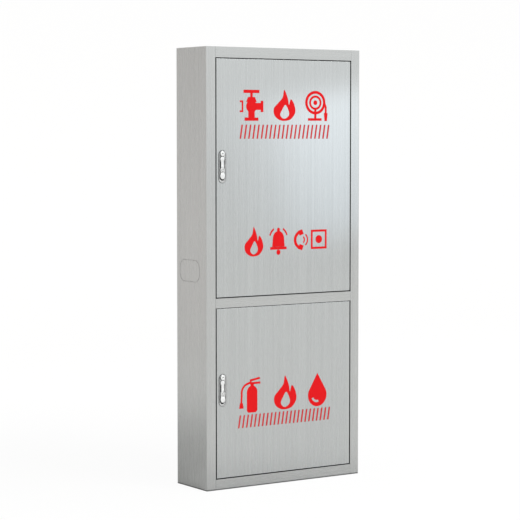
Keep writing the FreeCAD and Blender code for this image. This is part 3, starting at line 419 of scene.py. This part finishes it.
def sign_film(name, colour):
    """Screen-printed red film that takes a little of the brush lines under it."""
    made, tree, shader = new_material(name)
    lines = group_node(tree, "Brushed Grain", brushed_grain, Grain=(500.0, 500.0, 6.0), Depth=0.05)
    tone = mixed(tree, lines.outputs["Fine"], shade(colour, 0.93), shade(colour, 1.06))
    tree.links.new(tone, shader.inputs["Base Color"])
    rough = spread(tree, lines.outputs["Broad"], 0.0, 1.0, 0.44, 0.56)
    tree.links.new(rough, shader.inputs["Roughness"])
    shader.inputs["Specular IOR Level"].default_value = 0.14
    tree.links.new(lines.outputs["Normal"], shader.inputs["Normal"])
    return made


def finish_for(slot):
    """The material of a slot of the record, or of one of this file's own finishes, made on first use."""
    name = f"cabinet_{slot}"
    made = bpy.data.materials.get(name)
    if made:
        return made
    steels, locks, signs = settings().steel, settings().locks, settings().signs
    upright, level = (620.0, 620.0, 4.0), (4.0, 620.0, 620.0)
    makers = {
        "case_steel": lambda: steel(name, steels.case_colour, steels.roughness, upright, 0.05),
        "rail_steel": lambda: steel(name, steels.case_colour, steels.roughness, level, 0.05),
        "door_steel": lambda: steel(name, steels.door_colour, steels.roughness, upright, 0.065),
        "lock_chrome": lambda: plain_metal(name, locks.colour, 0.16, 900.0, 0.02, metallic=0.55),
        # The plate's long reach paints shade deep into the lever's pocket.
        "lock_satin": lambda: plain_metal(name, locks.plate_colour, 0.2, 900.0, 0.02, reach=0.012),
        "zinc_steel": lambda: plain_metal(name, (0.55, 0.56, 0.57), 0.36, 160.0, 0.12),
        "pin_steel": lambda: plain_metal(name, (0.58, 0.58, 0.58), 0.28, 500.0, 0.06),
        "nylon": lambda: soft_polymer(name, (0.035, 0.035, 0.038), 0.45, 900.0),
        "seal_rubber": lambda: soft_polymer(name, (0.012, 0.012, 0.012), 0.7, 700.0),
        "pipe_red": lambda: enamel(name, (0.42, 0.022, 0.018), (0.35, 0.33, 0.31), 0.38, 120.0, 0.15),
        "valve_red": lambda: enamel(name, (0.50, 0.022, 0.018), (0.30, 0.28, 0.26), 0.32, 300.0, 0.4),
        "wheel_red": lambda: enamel(name, (0.55, 0.024, 0.02), (0.30, 0.28, 0.26), 0.26, 240.0, 0.3),
        "rack_red": lambda: enamel(name, (0.50, 0.024, 0.02), (0.45, 0.44, 0.43), 0.42, 900.0, 0.35),
        "brass": lambda: plain_metal(name, (0.74, 0.53, 0.24), 0.24, 320.0, 0.08),
        "cast_aluminium": lambda: plain_metal(name, (0.70, 0.71, 0.72), 0.36, 360.0, 0.3),
        "sign_red": lambda: sign_film(name, signs.colour),
        "band_red": lambda: sign_film(name, signs.band_colour),
    }
    return makers[slot]()


# ---------------------------------------------------------------- mesh helpers


def piece(name, shape, finishes, body, replaces=(), sharp=35):
    """A mesh object from a shape, smooth but for its sharp edges, riding on a body."""
    mesh = bpy.data.meshes.new(name)
    mesh.from_pydata([tuple(v) for v in shape.verts], [], shape.faces)
    for face, finish in zip(mesh.polygons, shape.finishes):
        face.material_index = finish
    work = bmesh.new()
    work.from_mesh(mesh)
    bmesh.ops.remove_doubles(work, verts=work.verts, dist=1e-7)
    bmesh.ops.recalc_face_normals(work, faces=work.faces)
    work.to_mesh(mesh)
    work.free()
    mesh.shade_smooth()
    mesh.set_sharp_from_angle(angle=math.radians(sharp))
    made = bpy.data.objects.new(name, mesh)
    bpy.context.scene.collection.objects.link(made)
    for finish in finishes:
        mesh.materials.append(finish_for(finish))
    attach(made, body)
    if replaces:
        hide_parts(*replaces)
    return made


class Shape:
    """Points and faces gathered from several forms, each in the finish that was current."""

    def __init__(self):
        self.verts = []
        self.faces = []
        self.finishes = []
        self.finish = 0

    def add(self, verts, faces):
        """Append a form."""
        start = len(self.verts)
        self.verts.extend(verts)
        self.faces.extend(tuple(start + n for n in face) for face in faces)
        self.finishes += [self.finish] * len(faces)
        return self

    def rings(self, loops, closed=False):
        """Loops of equal length joined in order, with their ends capped or joined to each other."""
        count = len(loops[0])
        verts = [point for loop in loops for point in loop]
        faces = []
        for i in range(len(loops) if closed else len(loops) - 1):
            low, high = i * count, (i + 1) % len(loops) * count
            for n in range(count):
                after = (n + 1) % count
                faces.append((low + n, low + after, high + after, high + n))
        if not closed:
            last = len(verts) - count
            faces += [tuple(range(count)), tuple(range(last, len(verts)))[::-1]]
        return self.add(verts, faces)

    def lathe(self, profile, matrix, closed=False):
        """A profile of radius and height in millimetres turned about z, then moved by a matrix."""
        steps = 48
        turns = [2 * math.pi * n / steps for n in range(steps)]
        loops = []
        for r, height in ((r * MM, height * MM) for r, height in profile):
            loops.append([matrix @ Vector((r * math.cos(t), r * math.sin(t), height)) for t in turns])
        return self.rings(loops, closed=closed)


def stadium_loop(half_width, low, high, y, centre):
    """A loop with round ends round a lock's centre, facing the front; sizes in millimetres."""
    arc_steps, side_steps = 20, 10
    top, foot = high - half_width, low + half_width
    points = []
    for first, middle, other, side in ((0.0, top, foot, -half_width), (math.pi, foot, top, half_width)):
        for n in range(arc_steps + 1):
            angle = first + math.pi * n / arc_steps
            points.append((half_width * math.cos(angle), middle + half_width * math.sin(angle)))
        points += [(side, middle + (other - middle) * n / side_steps) for n in range(1, side_steps)]
    return [Vector((centre.x + x * MM, centre.y + y * MM, centre.z + z * MM)) for x, z in points]


# ---------------------------------------------------------------- lever locks


def lock_centre(bay):
    """The middle of a lock on the door's front face."""
    low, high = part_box(f"{bay}_lock_housing")
    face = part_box(f"{bay}_door_panel")[0].y
    return Vector(((low.x + high.x) / 2, face, (low.z + high.z) / 2))


def facing_front(centre, height):
    """Turns a lathed form's axis to the front, at a height in millimetres over a lock's centre."""
    return Matrix.Translation(centre + Vector((0, 0, height * MM))) @ Matrix.Rotation(math.pi / 2, 4, "X")


def lock_housing(bay):
    """The face plate: a rolled rim, a sunk tray, the lever's deep pocket and a round boss at the top.

    Each ring is a half width, a foot, a top and a depth in millimetres from the lock's centre.
    """
    centre = lock_centre(bay)
    edge = settings().locks.edge / MM
    half_width, half_length = 15.0, 59.0
    front, tray, pocket, back = -2.5, -0.6, 8.0, 12.0
    edge_steps = 5
    plate = [(half_width, -half_length, half_length, 0.0)]
    for n in range(edge_steps + 1):
        angle = math.pi / 2 * n / edge_steps
        inset = edge * (1 - math.cos(angle))
        depth = front + edge * (1 - math.sin(angle))
        plate.append((half_width - inset, inset - half_length, half_length - inset, depth))
    rim = [(13.7, -57.3, 57.7, front), (13.4, -57.0, 57.4, front + 0.3), (13.2, -56.8, 57.2, tray)]
    well = [(10.9, -52.6, 40.0, tray), (10.6, -52.3, 39.7, tray + 0.4), (10.5, -52.2, 39.6, pocket - 1.5)]
    floor = [(9.9, -51.6, 39.0, pocket - 0.3), (9.2, -50.9, 38.3, pocket)]
    slot = [(3.9, 16.4, 31.0, pocket), (3.9, 16.4, 31.0, back)]
    body = [(12.4, -53.9, 41.9, back), (12.4, -53.9, 41.9, 0.0)]
    loops = [stadium_loop(*ring, centre) for ring in plate + rim + well + floor + slot + body]
    shape = Shape().rings(loops, closed=True)
    satin, chrome = 0, 1
    # Painted highlight: the pocket's walls and the rim's foot and right side take the brighter chrome, the
    # rest of the plate the satin.
    highlight_foot, highlight_side = -46 * MM, 8 * MM
    wall_start = len(plate + rim) * len(loops[0])
    wall_end = wall_start + len(well) * len(loops[0])
    for n, face in enumerate(shape.faces[:wall_end]):
        corner = shape.verts[face[0]] - centre
        painted_highlight = n >= wall_start or corner.z < highlight_foot or corner.x > highlight_side
        shape.finishes[n] = chrome if painted_highlight else satin
    shape.finish = chrome
    boss = [(0.0001, 1.6), (1.9, 1.6), (2.2, 3.9), (2.8, 4.3), (5.4, 4.45)]
    boss += [(8.0, 4.2), (9.3, 3.3), (9.8, 2.2), (9.8, 0.4)]
    boss_height = 48.2
    shape.lathe(boss, facing_front(centre, boss_height))
    piece(
        f"{bay}_lock_plate", shape, ("lock_satin", "lock_chrome"), f"{bay}_door", [f"{bay}_lock_housing"],
    )


# The lever's heights, in millimetres over the lock's centre
LEVER_FOOT, LEVER_TOP = -46.0, 37.7
LEVER_HEAD, LEVER_BOSS, LEVER_PADDLE = 28.6, -13.0, -36.5


def lever_half_width(z):
    """Half the lever's width at a height: round head, waist, middle boss and paddle, softly joined."""
    def round_part(middle, radius):
        return math.sqrt(max(0.0, radius * radius - (z - middle) ** 2))

    neck, waist_top, blend = -27.0, 28.0, 7
    parts = [round_part(LEVER_HEAD, 9.2), round_part(LEVER_BOSS, 9.9), round_part(LEVER_PADDLE, 9.7)]
    straights = ((LEVER_PADDLE, waist_top, 6.0), (LEVER_PADDLE, neck, 9.2), (neck, LEVER_BOSS, 8.2))
    parts += [half for low, high, half in straights if low < z < high]
    return sum(part ** blend for part in parts) ** (1 / blend)


def lever_front(z):
    """How far the lever stands out of the door at a height: low at the head, full at the paddle."""
    at_head, at_boss, at_paddle = -2.4, -3.0, -4.4
    boss_top, slope_top, slope_foot = 4.0, -21.0, -28.0
    if z > boss_top:
        return at_head
    if z > slope_top:
        return at_boss
    if z < slope_foot:
        return at_paddle
    return at_boss + (at_paddle - at_boss) * (slope_top - z) / (slope_top - slope_foot)


def squircle(angle):
    """A point on a circle whose sides are drawn out towards a square's."""
    flatness = 0.62
    c, s = math.cos(angle), math.sin(angle)
    return math.copysign(abs(c) ** flatness, c), math.copysign(abs(s) ** flatness, s)


def lock_lever(bay):
    """The pull lever: a crowned bar with a head, a waist, a ringed boss, a paddle and a rear finger."""
    centre = lock_centre(bay)
    sections, corners, back = 84, 28, 0.95
    thinnest, full, crown = 0.02, 9.3, 0.3
    loops = []
    for n in range(sections + 1):
        z = LEVER_FOOT + (LEVER_TOP - LEVER_FOOT) * (1 - math.cos(math.pi * n / sections)) / 2
        half = max(lever_half_width(z), thinnest)
        front = lever_front(z) * (min(half, full) / full) ** crown
        middle, reach = (front + back) / 2, (back - front) / 2
        outline = [squircle(2 * math.pi * k / corners) for k in range(corners)]
        loops.append([centre + Vector((half * x, middle + reach * y, z)) * MM for x, y in outline])
    shape = Shape().rings(loops)
    ring = [(0.0001, 4.2), (3.9, 4.2), (4.3, 3.2), (5.6, 3.2), (6.0, 4.2)]
    ring += [(7.4, 4.48), (8.8, 4.2), (9.3, 3.2), (9.3, 2.4)]
    shape.lathe(ring, facing_front(centre, LEVER_BOSS))
    low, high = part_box(f"{bay}_lever_pin")
    pivot = (low + high) / 2
    sideways = Matrix.Translation(pivot) @ Matrix.Rotation(math.pi / 2, 4, "Y")
    knuckle = [(1.55, -8.5), (3.2, -8.5), (3.6, -8.1), (3.6, 8.1), (3.2, 8.5), (1.55, 8.5)]
    shape.lathe(knuckle, sideways, closed=True)
    root, tip, half_height, half_width, tip_steps = 3.0, 12, 2, 3, 8
    finger = []
    for n in range(tip_steps + 1):
        angle = math.pi * n / tip_steps
        finger.append((tip + half_height * math.sin(angle), half_height * math.cos(angle)))
    finger += [(root, -half_height), (root, half_height)]
    shape.rings([[pivot + Vector((x, y, z)) * MM for y, z in finger] for x in (-half_width, half_width)])
    piece(
        f"{bay}_pull_lever", shape, ("lock_chrome",), f"{bay}_lever", [f"{bay}_lock_lever"],
    )


def latch_spring(bay):
    """The tongue's return spring: a coil of wire that fills the spring's box."""
    low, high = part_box(f"{bay}_latch_spring")
    wire, turns, around, sides = 0.3 * MM, 6, 20, 8
    radius = (high.z - low.z) / 2 - wire
    centre = (low + high) / 2
    along = Vector((1, 0, 0))
    loops = []
    for n in range(turns * around + 1):
        share = n / (turns * around)
        angle = 2 * math.pi * turns * share
        out = Vector((0, math.cos(angle), math.sin(angle)))
        middle = centre + radius * out
        middle.x = low.x + wire + (high.x - low.x - 2 * wire) * share
        turned = [2 * math.pi * k / sides for k in range(sides)]
        loops.append([middle + wire * (math.cos(t) * out + math.sin(t) * along) for t in turned])
    made = piece(
        f"{bay}_latch_coil", Shape().rings(loops), ("pin_steel",), f"{bay}_door", [f"{bay}_latch_spring"],
    )
    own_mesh(made)


# ---------------------------------------------------------------- door signs


def smooth_loop(points):
    """A closed curve through points."""
    steps = 8
    out = []
    count = len(points)
    for n in range(count):
        a, b, c, d = (Vector(points[(n + k) % count]) for k in (-1, 0, 1, 2))
        slope, bend, twist = c - a, 2 * a - 5 * b + 4 * c - d, 3 * b - a - 3 * c + d
        for t in (step / steps for step in range(steps)):
            out.append(0.5 * (2 * b + slope * t + bend * t * t + twist * t ** 3))
    return out


def arc(centre, radius, start, end, steps=20):
    """Points on part of a circle, in degrees."""
    angles = [math.radians(start + (end - start) * n / steps) for n in range(steps + 1)]
    return [Vector((centre[0] + radius * math.cos(a), centre[1] + radius * math.sin(a))) for a in angles]


def disc(centre, radius, steps=40):
    """A filled circle."""
    return [arc(centre, radius, 0, 360 * (1 - 1 / steps), steps - 1)]


def hoop(centre, radius, width):
    """A circle's outline of some width."""
    return disc(centre, radius + width / 2, 48) + disc(centre, radius - width / 2, 48)


def stroke(points, width):
    """A line of some width along points, with flat ends and mitred corners."""
    points = [Vector(p) for p in points]
    ways = [(b - a).normalized() for a, b in zip(points, points[1:])]
    longest_mitre = 2.0
    left, right = [], []
    for here, before, after in zip(points, ways[:1] + ways, ways + ways[-1:]):
        along = (before + after).normalized()
        across = Vector((-along.y, along.x))
        reach = across * width / 2 / max(1 / longest_mitre, along.dot(before))
        left.append(here + reach)
        right.append(here - reach)
    return [left + right[::-1]]


def flame_mark():
    """A flame with a hollow heart."""
    outside = smooth_loop(
        [(0.0, -0.5), (0.24, -0.44), (0.40, -0.22), (0.36, 0.04), (0.24, 0.20), (0.17, 0.02), (0.13, 0.22),
         (0.0, 0.5), (-0.06, 0.26), (-0.22, 0.08), (-0.38, -0.10), (-0.36, -0.32), (-0.2, -0.46)]
    )
    heart = smooth_loop(
        [(0.02, -0.43), (0.16, -0.33), (0.16, -0.18), (0.04, 0.02), (-0.08, -0.14), (-0.15, -0.28),
         (-0.1, -0.39)]
    )
    return [[outside, heart]]


def valve_mark():
    """A landing valve from the side."""
    return [
        stroke([(-0.3, 0.44), (0.3, 0.44)], 0.1),
        stroke([(0.0, 0.42), (0.0, 0.2)], 0.09),
        [[(-0.13, 0.26), (0.13, 0.26), (0.2, 0.1), (-0.2, 0.1)]],
        disc((0.0, -0.04), 0.2),
        stroke([(0.0, -0.04), (0.36, -0.04)], 0.22),
        stroke([(0.40, -0.22), (0.40, 0.14)], 0.1),
        stroke([(0.0, -0.1), (0.0, -0.46)], 0.24),
        stroke([(-0.26, -0.45), (0.26, -0.45)], 0.1),
        stroke([(-0.44, -0.2), (-0.34, -0.2), (-0.34, 0.12), (-0.44, 0.12)], 0.055),
    ]


def reel_mark():
    """A hose reel with its nozzle hanging."""
    return [
        hoop((-0.06, 0.1), 0.34, 0.09),
        hoop((-0.06, 0.1), 0.2, 0.07),
        disc((-0.06, 0.1), 0.075),
        stroke([(0.28, 0.1), (0.34, -0.04), (0.34, -0.26)], 0.07),
        [[(0.27, -0.24), (0.41, -0.24), (0.385, -0.5), (0.295, -0.5)]],
        stroke([(-0.34, -0.45), (0.18, -0.45)], 0.08),
        stroke([(-0.06, -0.1), (-0.06, -0.45)], 0.08),
    ]


def bell_mark():
    """An alarm bell with its clapper and two sound arcs."""
    dome = arc((0.0, 0.08), 0.26, 180, 0)
    return [
        [dome + [Vector((0.29, -0.2)), Vector((-0.29, -0.2))]],
        stroke([(-0.38, -0.25), (0.38, -0.25)], 0.09),
        disc((0.0, -0.39), 0.09),
        disc((0.0, 0.38), 0.07),
        stroke(arc((0.0, 0.05), 0.42, 20, 60), 0.06),
        stroke(arc((0.0, 0.05), 0.42, 120, 160), 0.06),
    ]


def handset_mark():
    """A telephone handset with two sound arcs."""
    return [
        stroke(arc((0.12, 0.0), 0.42, 118, 242), 0.13),
        [[(-0.16, 0.42), (0.06, 0.5), (0.14, 0.28), (-0.06, 0.2)]],
        [[(-0.16, -0.42), (0.06, -0.5), (0.14, -0.28), (-0.06, -0.2)]],
        stroke(arc((-0.02, 0.0), 0.2, -45, 45), 0.06),
        stroke(arc((-0.02, 0.0), 0.36, -45, 45), 0.06),
    ]


def button_mark():
    """An alarm button in its square frame."""
    frames = [[(-n, -n), (n, -n), (n, n), (-n, n)] for n in (0.46, 0.36)]
    return [frames, disc((0.0, 0.0), 0.19)]


def extinguisher_mark():
    """A portable extinguisher with its lever and hose."""
    shoulders = arc((0.02, 0.1), 0.19, 180, 0)
    foot = [Vector(point) for point in ((0.21, -0.44), (0.16, -0.5), (-0.12, -0.5), (-0.17, -0.44))]
    return [
        [shoulders + foot],
        stroke([(0.02, 0.26), (0.02, 0.38)], 0.12),
        stroke([(-0.06, 0.36), (0.32, 0.36)], 0.06),
        stroke([(-0.06, 0.44), (0.30, 0.5)], 0.06),
        stroke([(0.0, 0.4)] + arc((-0.08, 0.08), 0.28, 100, 190, 12) + [(-0.37, -0.2)], 0.06),
        [[(-0.42, -0.2), (-0.32, -0.2), (-0.29, -0.36), (-0.45, -0.36)]],
    ]


def drop_mark():
    """A drop of water with a hollow."""
    outside = [Vector((0.0, 0.5))] + arc((0.0, -0.16), 0.34, 25, -205, 40)
    middle = (-0.02, -0.18)
    return [[outside, arc(middle, 0.2, 200, 290, 10) + arc(middle, 0.13, 290, 200, 10)]]


def sign(name, bay, marks, centre_x, low, width, height, finish="sign_red"):
    """One sign: thin plates on the door from marks drawn in a unit square about its middle.

    Each plate is a hair thicker than the last, so that marks that cross don't share a face.
    """
    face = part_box(f"{bay}_door_panel")[0].y
    thickness, hair = settings().signs.thickness, 0.06
    shape = Shape()
    for order, loops in enumerate(marks):
        work = bmesh.new()
        for loop in loops:
            places = [(centre_x + x * width, face, low + (z + 0.5) * height) for x, z in loop]
            verts = [work.verts.new(place) for place in places]
            for n, vert in enumerate(verts):
                work.edges.new((verts[n - 1], vert))
        bmesh.ops.triangle_fill(work, edges=work.edges[:], use_beauty=True, use_dissolve=False)
        front = bmesh.ops.extrude_face_region(work, geom=work.faces[:])
        moved = [item for item in front["geom"] if isinstance(item, bmesh.types.BMVert)]
        bmesh.ops.translate(work, verts=moved, vec=(0, -thickness * (1 + hair * order), 0))
        work.verts.index_update()
        shape.add([v.co.copy() for v in work.verts], [[v.index for v in f.verts] for f in work.faces])
        work.free()
    piece(name, shape, (finish,), f"{bay}_door", sharp=30)


def sign_row(bay, low, height, places):
    """Signs side by side on a door, from a name, the marks, the middle and the width of each."""
    for name, marks, centre_x, width in places:
        sign(name, bay, marks, centre_x, low, width, height)


def hatched_band(name, bay, centre_x, low, width, height, bars, weight):
    """A band of slanted bars; the weight is the share of the band that they cover."""
    pitch = 1 / bars
    lean, half = pitch * 0.22, pitch * weight / 2
    marks = []
    for n in range(bars):
        foot = -0.5 + pitch * (n + 0.5) - lean
        top = foot + 2 * lean
        marks.append([[(foot - half, -0.5), (foot + half, -0.5), (top + half, 0.5), (top - half, 0.5)]])
    sign(name, bay, marks, centre_x, low, width, height, "band_red")


# ---------------------------------------------------------------- studio


def studio_mesh(name, verts, faces, material):
    """A mesh that belongs to the studio only."""
    mesh = bpy.data.meshes.new(name)
    mesh.from_pydata(verts, [], faces)
    mesh.materials.append(material)
    made = bpy.data.objects.new(name, mesh)
    bpy.context.scene.collection.objects.link(made)
    return made


def studio_paper():
    """Pale paper with a painted shadow round the cabinet's foot, darker far back, that nearly glows to the
    camera.
    """
    near_tone, far_tone = (0.655, 0.655, 0.65), (0.585, 0.567, 0.557)
    # The darker tone is a painted shadow near the cabinet's foot.
    painted_shadow_tone, fleck = (0.44, 0.44, 0.435), (0.3, 0.3, 0.3)
    made = bpy.data.materials.new("studio_paper")
    tree = empty_tree(made)
    place = add(tree, "ShaderNodeTexCoord").outputs["Object"]
    away = spread(tree, add(tree, "ShaderNodeSeparateXYZ", {0: place}).outputs["Y"], 1.0, 5.0)
    tone = mixed(tree, away, near_tone, far_tone)
    # Painted shadow: the paper darkens towards a point behind and left of the cabinet's foot.
    from_foot = add(tree, "ShaderNodeVectorMath", {0: place, 1: (-0.6, 0.9, 0.0)}, operation="DISTANCE")
    foot = spread(tree, from_foot.outputs["Value"], 0.5, 1.9, 1.0, 0.0)
    shaded = mixed(tree, foot, tone, painted_shadow_tone)
    speckle = spread(tree, noise(tree, place, 60.0, 4.0), 0.3, 0.7, 0.0, 0.04)
    grained = mixed(tree, speckle, shaded, fleck)
    paper = add(tree, "ShaderNodeBsdfDiffuse", {"Color": grained})
    glow = add(tree, "ShaderNodeEmission", {"Color": (1, 1, 1, 1), "Strength": 1.035})
    seen = add(tree, "ShaderNodeMixShader", {0: 0.90, 1: paper.outputs[0], 2: glow.outputs[0]})
    path = add(tree, "ShaderNodeLightPath").outputs["Is Camera Ray"]
    both = add(tree, "ShaderNodeMixShader", {0: path, 1: paper.outputs[0], 2: seen.outputs[0]})
    add(tree, "ShaderNodeOutputMaterial", {"Surface": both.outputs[0]})
    return made


def backdrop():
    """A wide pale floor that runs up into a wall behind the cabinet."""
    half, depth, front, radius, rise, bend_steps = 14.0, 7.0, -16.0, 2.5, 9.0, 16
    profile = [(front, 0.0)]
    for t in (math.pi / 2 * n / bend_steps for n in range(bend_steps + 1)):
        profile.append((depth - radius + radius * math.sin(t), radius - radius * math.cos(t)))
    profile.append((depth, rise))
    verts = [(x, y, z) for y, z in profile for x in (-half, half)]
    faces = [(2 * n, 2 * n + 1, 2 * n + 3, 2 * n + 2) for n in range(len(profile) - 1)]
    floor = studio_mesh("studio_backdrop", verts, faces, studio_paper())
    floor.data.shade_smooth()


def sun_light(name, place, power, spread_angle):
    """A soft far lamp that shines from a place towards the frame's origin."""
    lamp = bpy.data.lights.new(name, "SUN")
    lamp.energy = power
    lamp.angle = spread_angle
    made = bpy.data.objects.new(name, lamp)
    bpy.context.scene.collection.objects.link(made)
    made.location = place
    made.rotation_euler = Vector(place).to_track_quat("Z", "Y").to_euler()


def card_glow(half_height):
    """The light card's glow, brighter towards its top."""
    made = bpy.data.materials.new("studio_card")
    tree = empty_tree(made)
    place = add(tree, "ShaderNodeTexCoord").outputs["Object"]
    up = add(tree, "ShaderNodeSeparateXYZ", {0: place}).outputs["Z"]
    strength = spread(tree, up, -half_height, half_height, 1.04, 1.47)
    glow = add(tree, "ShaderNodeEmission", {"Color": (0.92, 0.97, 1.0, 1), "Strength": strength})
    add(tree, "ShaderNodeOutputMaterial", {"Surface": glow.outputs[0]})
    return made


def light_card():
    """A tilted glowing panel at the front right, brighter at the top, that the upper door mirrors."""
    half_width, half_height, place = 0.36, 0.31, (0.86, -0.905, 1.20)
    corners = ((-1, -1), (1, -1), (1, 1), (-1, 1))
    verts = [(x * half_width, 0.0, z * half_height) for x, z in corners]
    card = studio_mesh("studio_card", verts, [(0, 1, 2, 3)], card_glow(half_height))
    tilt = Matrix.Rotation(math.radians(-10), 4, "Y")
    card.matrix_world = Matrix.Translation(place) @ tilt
    card.visible_camera = False
    card.visible_shadow = False


def surroundings():
    """A pale sky, dimmer near the ground and warmer behind, which the camera itself sees as plain white."""
    world = bpy.data.worlds.new("studio_sky")
    bpy.context.scene.world = world
    tree = empty_tree(world)
    direction = add(tree, "ShaderNodeTexCoord").outputs["Generated"]
    axes = add(tree, "ShaderNodeSeparateXYZ", {0: direction})
    behind = spread(tree, axes.outputs["Y"], -0.5, 0.9)
    tint = mixed(tree, behind, (0.95, 0.965, 0.955), (0.80, 0.78, 0.75))
    rise = spread(tree, axes.outputs["Z"], -0.02, 0.1, 0.76, 1.16)
    sky = add(tree, "ShaderNodeBackground", {"Color": tint, "Strength": rise})
    plain = add(tree, "ShaderNodeBackground", {"Color": (1, 1, 1, 1), "Strength": 1.0})
    path = add(tree, "ShaderNodeLightPath").outputs["Is Camera Ray"]
    both = add(tree, "ShaderNodeMixShader", {0: path, 1: sky.outputs[0], 2: plain.outputs[0]})
    add(tree, "ShaderNodeOutputWorld", {"Surface": both.outputs[0]})


def camera():
    """The camera at the front left, a little above the middle."""
    studio = settings().studio
    lens = bpy.data.cameras.new("studio_camera")
    lens.lens = studio.lens
    lens.sensor_width = 36.0
    lens.clip_end = 60.0
    made = bpy.data.objects.new("studio_camera", lens)
    bpy.context.scene.collection.objects.link(made)
    turn, rise = studio.azimuth, studio.elevation
    back = Vector((math.sin(turn) * math.cos(rise), -math.cos(turn) * math.cos(rise), math.sin(rise)))
    made.location = studio.place
    made.rotation_euler = (-back).to_track_quat("-Z", "Y").to_euler()
    bpy.context.scene.camera = made


# ---------------------------------------------------------------- operators


class CABINET_OT_studio(bpy.types.Operator):
    """Set the floor, the soft light and the camera"""

    bl_idname = "cabinet.studio"
    bl_label = "Studio"

    def execute(self, context):
        backdrop()
        surroundings()
        sun_light("studio_key", (1.7, -3.6, 5.0), 0.95, math.radians(20))
        light_card()
        camera()
        context.scene.view_settings.view_transform = "Standard"
        return {"FINISHED"}


class CABINET_OT_finishes(bpy.types.Operator):
    """Give every frame part its finish"""

    bl_idname = "cabinet.finishes"
    bl_label = "Finishes"

    def execute(self, context):
        for part in frame["record"]["subparts"]:
            level = part["node"] in LEVEL_GRAIN_PARTS
            mesh = frame["nodes"][part["node"]].data
            mesh.materials.clear()
            mesh.materials.append(finish_for("rail_steel" if level else part["material_slot"]))
        return {"FINISHED"}


class CABINET_OT_locks(bpy.types.Operator):
    """Make the two chrome lever locks and their latch springs"""

    bl_idname = "cabinet.locks"
    bl_label = "Lever Locks"

    def execute(self, context):
        for bay in BAYS:
            lock_housing(bay)
            lock_lever(bay)
            latch_spring(bay)
        return {"FINISHED"}


class CABINET_OT_signs(bpy.types.Operator):
    """Print the red signs on the doors"""

    bl_idname = "cabinet.signs"
    bl_label = "Door Signs"

    def execute(self, context):
        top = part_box("upper_door_panel")[1].z
        sign_row("upper", top - 0.229, 0.116, (
            ("sign_valve", valve_mark(), -0.151, 0.118),
            ("sign_flame", flame_mark(), -0.0025, 0.125),
            ("sign_reel", reel_mark(), 0.148, 0.122),
        ))
        hatched_band("sign_band_upper", "upper", 0.0015, top - 0.296, 0.415, 0.052, 22, 0.34)
        sign_row("upper", top - 0.737, 0.110, (
            ("sign_alarm_flame", flame_mark(), -0.141, 0.105),
            ("sign_bell", bell_mark(), -0.029, 0.098),
        ))
        sign_row("upper", top - 0.721, 0.080, (
            ("sign_handset", handset_mark(), 0.0745, 0.090),
            ("sign_button", button_mark(), 0.158, 0.080),
        ))
        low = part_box("lower_door_panel")[0].z
        sign_row("lower", low + 0.237, 0.129, (
            ("sign_extinguisher", extinguisher_mark(), -0.151, 0.124),
            ("sign_lower_flame", flame_mark(), 0.002, 0.130),
            ("sign_drop", drop_mark(), 0.1525, 0.128),
        ))
        hatched_band("sign_band_lower", "lower", 0.0005, low + 0.1815, 0.429, 0.048, 24, 0.36)
        return {"FINISHED"}


class CABINET_PT_panel(bpy.types.Panel):
    """Lists the cabinet's operators and settings"""

    bl_label = "Standpipe Cabinet"
    bl_idname = "CABINET_PT_panel"
    bl_space_type = "VIEW_3D"
    bl_region_type = "UI"
    bl_category = "Cabinet"

    def draw(self, context):
        for operator in OPERATORS:
            self.layout.operator(operator.bl_idname)
        cabinet = context.scene.cabinet
        for group, names in (
            (cabinet.steel, ("case_colour", "door_colour", "roughness")),
            (cabinet.signs, ("colour", "band_colour", "thickness")),
            (cabinet.locks, ("colour", "plate_colour", "edge")),
            (cabinet.studio, ("lens", "azimuth", "elevation", "place")),
        ):
            for name in names:
                self.layout.prop(group, name)


OPERATORS = (CABINET_OT_studio, CABINET_OT_finishes, CABINET_OT_locks, CABINET_OT_signs)
GROUPS = (SteelSettings, SignSettings, LockSettings, StudioSettings, CabinetSettings)
CLASSES = (*GROUPS, *OPERATORS, CABINET_PT_panel)


def register():
    """Register the classes and hang the settings on the scene."""
    for item in CLASSES:
        bpy.utils.register_class(item)
    bpy.types.Scene.cabinet = PointerProperty(type=CabinetSettings)


def unregister():
    """Take the settings and the classes away."""
    del bpy.types.Scene.cabinet
    for item in reversed(CLASSES):
        bpy.utils.unregister_class(item)


def main():
    """Build everything."""
    register()
    bpy.ops.cabinet.studio()
    bpy.ops.cabinet.finishes()
    bpy.ops.cabinet.locks()
    bpy.ops.cabinet.signs()
    bpy.context.view_layer.update()


if __name__ == "__main__":
    main()
